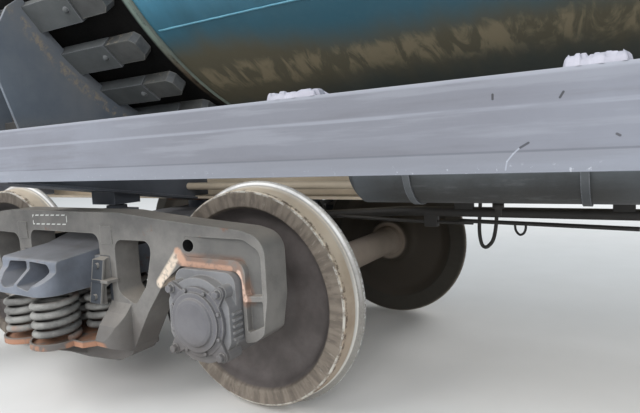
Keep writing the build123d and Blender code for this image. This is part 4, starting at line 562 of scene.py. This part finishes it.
worn_by = {
    "tank_paint": ("tank_shell", "tank_crown", "manhole_neck"),
    # The doubler sheets take the near-black painted shade finish.
    "grime": ("tank_pads",),
    "lid": ("manhole_lid", "safety_valves"),
    "timber": ("tank_bars",),
    "trough": ("bar_troughs",),
    "saddle": ("saddle_webs",),
    "spine": ("spine",),
    "pipe": ("brake_pipe",),
    "frame_paint": ("side_sills", "end_beams"),
    "under": ("bolster_beams", "cross_members"),
    "coupler": ("centre_plates", "yokes", "coupler_a", "coupler_b"),
    "drum": ("air_reservoir",),
    "band": ("drum_bands",),
    "gear": ("tank_straps", "brake_cylinder", "brake_rods", "drain_valve", "release_levers", "hand_brake",
             "brake_gear_a", "brake_gear_b"),
    "bright": ("hinge_pin",),
    "deck": ("walkways", "hand_rails", "ladders"),
    "frames": ("side_frames_a", "side_frames_b"),
    "bolster": ("bolster_a", "bolster_b"),
    "spring": ("springs_a", "springs_b"),
    "boxes": ("wedges_a", "wedges_b", "axle_boxes_a", "axle_boxes_b"),
    "covers": ("box_covers_a", "box_covers_b"),
    "wheel": ("wheelset_1", "wheelset_2", "wheelset_3", "wheelset_4"),
}
for kind, nodes in worn_by.items():
    for node in nodes:
        for mesh_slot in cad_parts[node].material_slots:
            mesh_slot.material = finishes[kind]


# Shapes worked out on grids

def lattice(rows, columns, wrap=False):
    """Corner indices of the quads between neighbours on a rows by columns grid, where the last column is
    joined to the first if wrapped."""
    r, c = np.meshgrid(np.arange(rows - 1), np.arange(columns if wrap else columns - 1), indexing="ij")
    n = (c + 1) % columns
    low, high = r * columns, (r + 1) * columns
    return np.stack((low + c, low + n, high + n, high + c), -1).reshape(-1, 4)


def turned(profile, sides):
    """A profile of (radius, height) turned about Z: point = (radius cos t, radius sin t, height)."""
    t = np.arange(sides) * 2 * np.pi / sides
    radius, height = np.asarray(profile, float).T
    points = np.stack((np.outer(radius, np.cos(t)), np.outer(radius, np.sin(t)),
                       np.repeat(height[:, None], sides, 1)), -1)
    return points.reshape(-1, 3), lattice(len(profile), sides, True)


def copies(shape, centres, axes, spin=0.0):
    """The shape at each centre, its Z turned to the axis or to each axis, and spun about it by an angle:
    point = centre + x right + y ahead + z axis."""
    points, faces = shape
    centres, axes = np.asarray(centres, float), np.asarray(axes, float)
    axes = np.broadcast_to(axes / np.linalg.norm(axes, axis=-1, keepdims=True), centres.shape)
    helper = np.where(np.abs(axes[:, 2:]) > 0.9, np.array([[1.0, 0, 0]]), np.array([[0, 0, 1.0]]))
    right = np.cross(helper, axes)
    right /= np.linalg.norm(right, axis=-1, keepdims=True)
    ahead = np.cross(axes, right)
    cos, sin = math.cos(spin), math.sin(spin)
    right, ahead = cos * right + sin * ahead, cos * ahead - sin * right
    x, y, z = (points[None, :, k:k + 1] for k in range(3))
    placed = centres[:, None] + x * right[:, None] + y * ahead[:, None] + z * axes[:, None]
    step = (np.arange(len(centres)) * len(points))[:, None, None]
    return placed.reshape(-1, 3), (faces[None] + step).reshape(-1, 4)


def joined(*shapes):
    """Several shapes as one list of points and faces."""
    starts = np.cumsum([0] + [len(points) for points, _ in shapes[:-1]])
    return (np.concatenate([points for points, _ in shapes]),
            np.concatenate([faces + start for (_, faces), start in zip(shapes, starts)]))


def smooth_path(corners, each):
    """A curve through the corners, with each points a span: cubics whose slopes are half the step between
    each corner's neighbours."""
    p = np.asarray(corners, float)
    p = np.concatenate((2 * p[:1] - p[1:2], p, 2 * p[-1:] - p[-2:-1]))
    t = np.linspace(0, 1, each, endpoint=False)[None, :, None]
    a, b, c, d = (p[k:len(p) - 3 + k, None] for k in range(4))
    spans = 2 * b + (c - a) * t + (2 * a - 5 * b + 4 * c - d) * t ** 2 + (3 * b - a - 3 * c + d) * t ** 3
    return np.concatenate((spans.reshape(-1, 3) / 2, p[-2:-1]))


def swept(path, profile, up=(0, 0, 1)):
    """A closed profile of (side, height) carried along a path: point = path + side (tangent x up) + height
    lift, where lift is (tangent x up) x tangent. The end rings close to their middles."""
    path, profile = np.asarray(path, float), np.asarray(profile, float)
    tangent = np.gradient(path, axis=0)
    tangent /= np.linalg.norm(tangent, axis=1, keepdims=True)
    side = np.cross(tangent, np.broadcast_to(np.asarray(up, float), tangent.shape))
    side /= np.linalg.norm(side, axis=1, keepdims=True)
    lift = np.cross(side, tangent)
    rings = path[:, None] + profile[None, :, :1] * side[:, None] + profile[None, :, 1:] * lift[:, None]
    ends = [np.repeat(ring.mean(0)[None], len(profile), 0)[None] for ring in (rings[0], rings[-1])]
    rings = np.concatenate((ends[0], rings, ends[1]))
    return rings.reshape(-1, 3), lattice(len(rings), len(profile), True)


def circle(radius, sides=10, flat=1.0):
    """Points round a circle, its height squeezed by flat."""
    t = np.arange(sides) * 2 * np.pi / sides
    return np.stack((radius * np.cos(t), flat * radius * np.sin(t)), -1)


def block(x, y, z):
    """A rounded block between limits: a superellipsoid, |x|^n + |y|^n + |z|^n = 1 with n = 2 / 0.15."""
    rows, columns = 13, 24
    v = np.linspace(-np.pi / 2, np.pi / 2, rows)
    t = np.linspace(0, 2 * np.pi, columns, endpoint=False)
    waves = np.cos(v), np.sin(v), np.cos(t), np.sin(t)
    cv, sv, ct, st = (np.sign(wave) * np.abs(wave) ** 0.15 for wave in waves)
    unit = np.stack((np.outer(cv, ct), np.outer(cv, st), np.outer(sv, np.ones(columns))), -1).reshape(-1, 3)
    low, high = np.array([x, y, z], float).T
    return (low + high) / 2 + unit * (high - low) / 2, lattice(rows, columns, True)


def piece(name, shape, body, finish, smooth=True):
    """Puts a shape into the scene as one mesh that rides on a body, doubles merged and faces outwards."""
    points, faces = shape
    mesh = bpy.data.meshes.new(name)
    mesh.from_pydata(points.tolist(), [], faces.tolist())
    work = bmesh.new()
    work.from_mesh(mesh)
    bmesh.ops.remove_doubles(work, verts=work.verts, dist=1e-6)
    bmesh.ops.dissolve_degenerate(work, edges=work.edges, dist=1e-7)
    bmesh.ops.recalc_face_normals(work, faces=work.faces)
    work.to_mesh(mesh)
    work.free()
    mesh.polygons.foreach_set("use_smooth", np.full(len(mesh.polygons), smooth))
    mesh.materials.append(finishes[finish])
    made = bpy.data.objects.new(name, mesh)
    bpy.context.collection.objects.link(made)
    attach(made, body)


def hexagon(across, height, washer=0.0):
    """A hexagon head with a chamfered top, on a washer if its radius is given, standing on z = 0."""
    r = across / 2 / np.cos(np.pi / 6)
    head = turned([(0, 0), (r, 0), (r, height * 0.86), (r * 0.86, height), (0, height)], 6)
    if not washer:
        return head
    points, faces = head
    base = turned([(0, 0), (washer, 0), (washer, height * 0.2), (0, height * 0.2)], 16)
    return joined(base, (points + [0, 0, height * 0.18], faces))


def circle_of(count, radius, centre, axis, start=0.0):
    """Centres of count bolts round a circle about an axis, Y or Z: centre + radius (cos t, sin t)."""
    t = np.radians(start) + np.arange(count) * 2 * np.pi / count
    a, b = radius * np.cos(t), radius * np.sin(t)
    zero = np.zeros(count)
    ring = {"Y": (a, zero, b), "Z": (a, b, zero)}[axis]
    return np.stack(ring, -1) + np.asarray(centre, float)


def arc(x, radius, start, end, count):
    """Points round the tank from one angle to another in degrees from its bottom:
    (x, radius sin a, middle - radius cos a)."""
    a = np.radians(np.linspace(start, end, count))
    return np.stack((np.full(count, x), radius * np.sin(a), TANK_Z - radius * np.cos(a)), -1)


def cover_bolts(letter, end):
    """Corner bolts and small cap screws on the axle box covers of one bogie."""
    corner_bolt, cap_screw = hexagon(0.028, 0.018, washer=0.019), hexagon(0.014, 0.008, washer=0.009)
    cover_face, cap_face = 1.1643, 1.1663
    corner_reach, ring_radius = 0.170, 0.126
    shapes = []
    for u in (-AXLE_U, AXLE_U):
        for s in (-1, 1):
            x, out = end * PIVOT + u, (0, s, 0)
            corners = circle_of(4, corner_reach, (x, s * cover_face, AXLE_Z), "Y", 45)
            ring = circle_of(8, ring_radius, (x, s * cap_face, AXLE_Z), "Y", 20)
            shapes += [copies(corner_bolt, corners, out, 0.4), copies(cap_screw, ring, out, 0.7)]
    piece(f"cover_bolts_{letter}", joined(*shapes), f"bogie_{letter}", "covers", smooth=False)


def tank_seams():
    """Flattened weld beads: along the lower flanks and the upper sides with a slight wave, and round the
    tank between its courses and at both heads. Point = (x, r sin a, middle - r cos a)."""
    bead = circle(0.006, 8, 0.6)
    radius = TANK_R + 0.001
    x = np.linspace(-HEAD_X, HEAD_X, 240)
    wave = 0.0006 * np.sin(x * 90)
    inner, outer = PIVOT - DOUBLER_HALF_X, PIVOT + DOUBLER_HALF_X
    flank, upper = 41.4, 118
    course_x = 1.62
    shapes = []
    for degrees in (-flank, flank, -upper, upper):
        a = math.radians(degrees)
        y, z = radius * math.sin(a), TANK_Z - radius * math.cos(a)
        path = np.stack((x, y + wave * math.cos(a), z + wave * math.sin(a)), -1)
        spans = [path]
        if abs(degrees) < DOUBLER_DEGREES:
            spans = [path[np.abs(x) < inner], path[x > outer], path[x < -outer]]
        shapes += [swept(span, bead) for span in spans]
    for x0, start in ((-HEAD_X, 0), (-course_x, flank), (course_x, flank), (HEAD_X, flank)):
        shapes.append(swept(arc(x0, radius, start, 360 - start, 181), bead, up=(1, 0, 0)))
    piece("tank_seams", joined(*shapes), "car", "seam")


def doubler_welds():
    """The bead along both curved edges of each sheet lapped under the tank."""
    bead = circle(0.008, 8, 0.8)
    shapes = []
    for end in (-1, 1):
        for side in (-1, 1):
            x = end * PIVOT + side * DOUBLER_HALF_X
            edge = arc(x, TANK_R + 0.003, -DOUBLER_DEGREES, DOUBLER_DEGREES, 90)
            shapes.append(swept(edge, bead, up=(1, 0, 0)))
    piece("doubler_welds", joined(*shapes), "car", "bead")


def sill_pads():
    """Low ragged slabs of spilt cement on the sills' top flanges:
    height = flange + (top - flange) sqrt(edge) step, where edge falls to 0 at the rim and step is random."""
    rng = np.random.default_rng(7)
    rows, columns, patch = 33, 17, np.ones((3, 3))
    half_width = 0.034
    shapes = []
    for x0, x1, y, top in (
        (-2.377, -2.223, -1.415, 1.288),
        (-1.671, -1.560, -1.415, 1.292),
        (1.1, 1.22, -1.41, 1.284),
        (-0.6, -0.5, 1.41, 1.284),
        (2.9, 3.05, 1.415, 1.286),
    ):
        u, v = np.meshgrid(np.linspace(-1, 1, rows), np.linspace(-1, 1, columns), indexing="ij")
        edge = np.clip((1 - np.abs(u)) * 9, 0, 1) * np.clip((1 - np.abs(v)) * 5, 0, 1)
        steps = np.kron(rng.uniform(0.55, 1.0, (11, 6)), patch)[:rows, :columns]
        height = SILL_TOP_Z + (top - SILL_TOP_Z) * edge ** 0.5 * steps
        ragged = 1 + 0.10 * np.kron(rng.normal(0, 1, (1, 6)), np.ones((rows, 3)))[:, :columns].clip(-1, 1)
        x = (x0 + x1) / 2 + u * (x1 - x0) / 2 * ragged
        points = np.stack((x, y + v * half_width * (1 + 0.08 * np.sin(9 * u)), height), -1)
        shapes.append((points.reshape(-1, 3), lattice(rows, columns)))
    piece("sill_pads", joined(*shapes), "car", "cement", smooth=False)


def end_bolts():
    """Bolts on the coupler frames and at the end beams' corners."""
    head = hexagon(0.034, 0.018, washer=0.024)
    groups = ((5.4703, 0.165, (0.985, 1.068, 1.151)), (5.4, 1.36, (1.10, 1.16, 1.22)))
    centres, axes = [], []
    for end in (-1, 1):
        for x, y, heights in groups:
            centres += [(end * x, s * y, z) for s in (-1, 1) for z in heights]
            axes += [(end, 0, 0)] * 2 * len(heights)
    piece("end_bolts", copies(head, centres, axes), "car", "frame_paint", smooth=False)


def lid_bolts():
    """Swing bolts with nuts in the manhole lid's eight ears."""
    ear_radius, ear_top_z = 0.350, 4.5105
    centres = circle_of(8, ear_radius, (0, 0, ear_top_z), "Z", 22.5)
    nut = hexagon(0.036, 0.022, washer=0.023)
    stud = turned([(0, 0), (0.011, 0), (0.011, 0.056), (0.008, 0.060), (0, 0.060)], 12)
    shape = joined(*(copies(part, centres, (0, 0, 1)) for part in (nut, stud)))
    piece("lid_bolts", shape, "manhole_lid", "bright", smooth=False)


def valve_bolts():
    """Nuts round both pressure valves' flanges."""
    valve_x, flange_z, bolt_radius = 0.62, 4.344, 0.076
    rings = [circle_of(8, bolt_radius, (s * valve_x, 0, flange_z), "Z", 22) for s in (-1, 1)]
    centres = np.concatenate(rings)
    shape = copies(hexagon(0.022, 0.014), centres, (0, 0, 1))
    piece("valve_bolts", shape, "car", "bright", smooth=False)


def drum_fittings():
    """Clamp bolts over the drum's bands, its drain plug and a thin bent air pipe to the frame."""
    down = (0, 0, -1)
    band_x, clamp_y, clamp_z, foot_z = 0.28, 0.052, 1.2255, 0.921
    clamps = [(DRUM_X + x, DRUM_Y + y, clamp_z) for x in (-band_x, band_x) for y in (-clamp_y, clamp_y)]
    plug = turned([(0, 0), (0.02, 0), (0.02, 0.02), (0.012, 0.022), (0.012, 0.045), (0, 0.045)], 12)
    pipe = smooth_path([(-1.41, DRUM_Y, DRUM_Z), (-1.34, DRUM_Y, DRUM_Z), (-1.25, -0.66, 1.06),
                        (-1.12, -0.42, 1.05), (-1.02, -0.25, 1.05), (-0.9, -0.2, 1.06)], 10)
    shape = joined(
        copies(hexagon(0.026, 0.02, washer=0.018), clamps, down),
        copies(plug, [(DRUM_X, DRUM_Y, foot_z)], down),
        swept(pipe, circle(0.012)),
    )
    piece("drum_fittings", shape, "car", "gear")


def safety_loops():
    """Bent round bars hung beside the spine round the pull rod, one swept curve each, with three lugs and
    two thin rods, at both ends of the car."""
    y = -0.300
    loop = [(2.118, 0.885), (2.124, 0.765), (2.117, 0.703), (2.103, 0.684), (2.085, 0.691), (2.065, 0.722),
            (2.053, 0.790), (2.050, 0.885)]
    small_loop = [(1.978, 0.793), (1.974, 0.762), (1.960, 0.744), (1.945, 0.748), (1.936, 0.765),
                  (1.934, 0.792)]
    outer_rod = [(2.825, 0.803), (2.500, 0.791), (2.300, 0.788), (2.150, 0.787)]
    inner_rod = [(2.208, 0.796), (1.900, 0.790), (1.532, 0.782)]
    curves = ((loop, 0.008), (small_loop, 0.005), (outer_rod, 0.008), (inner_rod, 0.009))
    lugs = (
        ((2.306, 2.367), -0.282, (0.766, 0.827)),
        ((2.146, 2.228), -0.290, (0.842, 0.886)),
        ((1.546, 1.621), -0.290, (0.842, 0.886)),
    )
    shapes = []
    for s in (-1, 1):
        for corners, radius in curves:
            path = smooth_path([(s * x, y, z) for x, z in corners], 8)
            shapes.append(swept(path, circle(radius), up=(0, 1, 0.01)))
        for ends, inner_y, heights in lugs:
            shapes.append(block(sorted(s * x for x in ends), (y - 0.018, inner_y), heights))
    piece("safety_loops", joined(*shapes), "car", "gear")


cover_bolts("a", -1)
cover_bolts("b", 1)
tank_seams()
doubler_welds()
sill_pads()
end_bolts()
lid_bolts()
valve_bolts()
drum_fittings()
safety_loops()


# Floor, light and view

def floor():
    """A wide square plate level with the flange tips, seen as pale as the background."""
    m = Finish("floor_pale", Roughness=0.9)
    pale = m.done(Base_Color=m.mix(m.noise(3, 3, 0.55), tone(214, 213, 210), tone(222, 221, 219)))
    mesh = bpy.data.meshes.new("floor")
    reach = 60.0
    corners = [(-reach, -reach, 0), (reach, -reach, 0), (reach, reach, 0), (-reach, reach, 0)]
    mesh.from_pydata(corners, [], [(0, 1, 2, 3)])
    mesh.materials.append(pale)
    plate = bpy.data.objects.new("floor", mesh)
    bpy.context.collection.objects.link(plate)


def light(name, place, aim, size, power):
    """A square soft lamp at place, turned to aim."""
    lamp = bpy.data.lights.new(name, "AREA")
    lamp.size, lamp.energy = size, power
    holder = bpy.data.objects.new(name, lamp)
    holder.location = place
    holder.rotation_mode = "QUATERNION"
    holder.rotation_quaternion = (Vector(aim) - Vector(place)).to_track_quat("-Z", "Y")
    bpy.context.collection.objects.link(holder)


def sky():
    """Even pale daylight, and near white where the camera or a reflection sees it."""
    world = bpy.data.worlds.new("sky")
    world.use_nodes = True
    bpy.context.scene.world = world
    tree = world.node_tree
    tree.nodes.clear()
    path = tree.nodes.new("ShaderNodeLightPath")
    lit = tree.nodes.new("ShaderNodeBackground")
    seen = tree.nodes.new("ShaderNodeBackground")
    lit.inputs["Color"].default_value = (0.86, 0.93, 1.0, 1)
    lit.inputs["Strength"].default_value = 0.75
    seen.inputs["Color"].default_value = (0.93, 0.93, 0.92, 1)
    seen.inputs["Strength"].default_value = 1.0
    direct = path.outputs["Is Camera Ray"]
    for kind in ("Is Glossy Ray", "Is Transmission Ray"):
        either = tree.nodes.new("ShaderNodeMath")
        either.operation = "MAXIMUM"
        tree.links.new(direct, either.inputs[0])
        tree.links.new(path.outputs[kind], either.inputs[1])
        direct = either.outputs[0]
    blend = tree.nodes.new("ShaderNodeMixShader")
    tree.links.new(direct, blend.inputs[0])
    tree.links.new(lit.outputs[0], blend.inputs[1])
    tree.links.new(seen.outputs[0], blend.inputs[2])
    tree.links.new(blend.outputs[0], tree.nodes.new("ShaderNodeOutputWorld").inputs[0])


def camera():
    """A camera about a metre out from the sill and inboard of the near bogie, which looks towards that bogie
    and slightly down, as fitted to the photograph."""
    place = Vector((-1.5503, -2.5644, 1.1318))
    yaw, pitch, roll = 0.5452, -0.1066, -0.0486
    focal_pixels, frame_pixels = 522.8, 640
    ahead = Vector((-math.sin(yaw) * math.cos(pitch), math.cos(yaw) * math.cos(pitch), math.sin(pitch)))
    right = ahead.cross(Vector((0, 0, 1))).normalized()
    top = right.cross(ahead)
    right, top = math.cos(roll) * right + math.sin(roll) * top, math.cos(roll) * top - math.sin(roll) * right
    lens = bpy.data.cameras.new("view")
    lens.sensor_width = 36.0
    lens.lens = focal_pixels * lens.sensor_width / frame_pixels
    lens.clip_start, lens.clip_end = 0.05, 200.0
    eye = bpy.data.objects.new("view", lens)
    turn = Matrix((right, top, -ahead)).transposed().to_4x4()
    eye.matrix_world = Matrix.Translation(place) @ turn
    bpy.context.collection.objects.link(eye)
    bpy.context.scene.camera = eye


floor()
sky()
camera()
light("sky_left", (-9, -9, 9), (-3, -1, 1), 9.0, 1500)
light("sky_front", (4, -12, 7), (0, 0, 1.5), 8.0, 1100)
light("sky_back", (2, 12, 8), (0, 0, 2), 8.0, 900)
bpy.context.scene.view_settings.view_transform = "Standard"
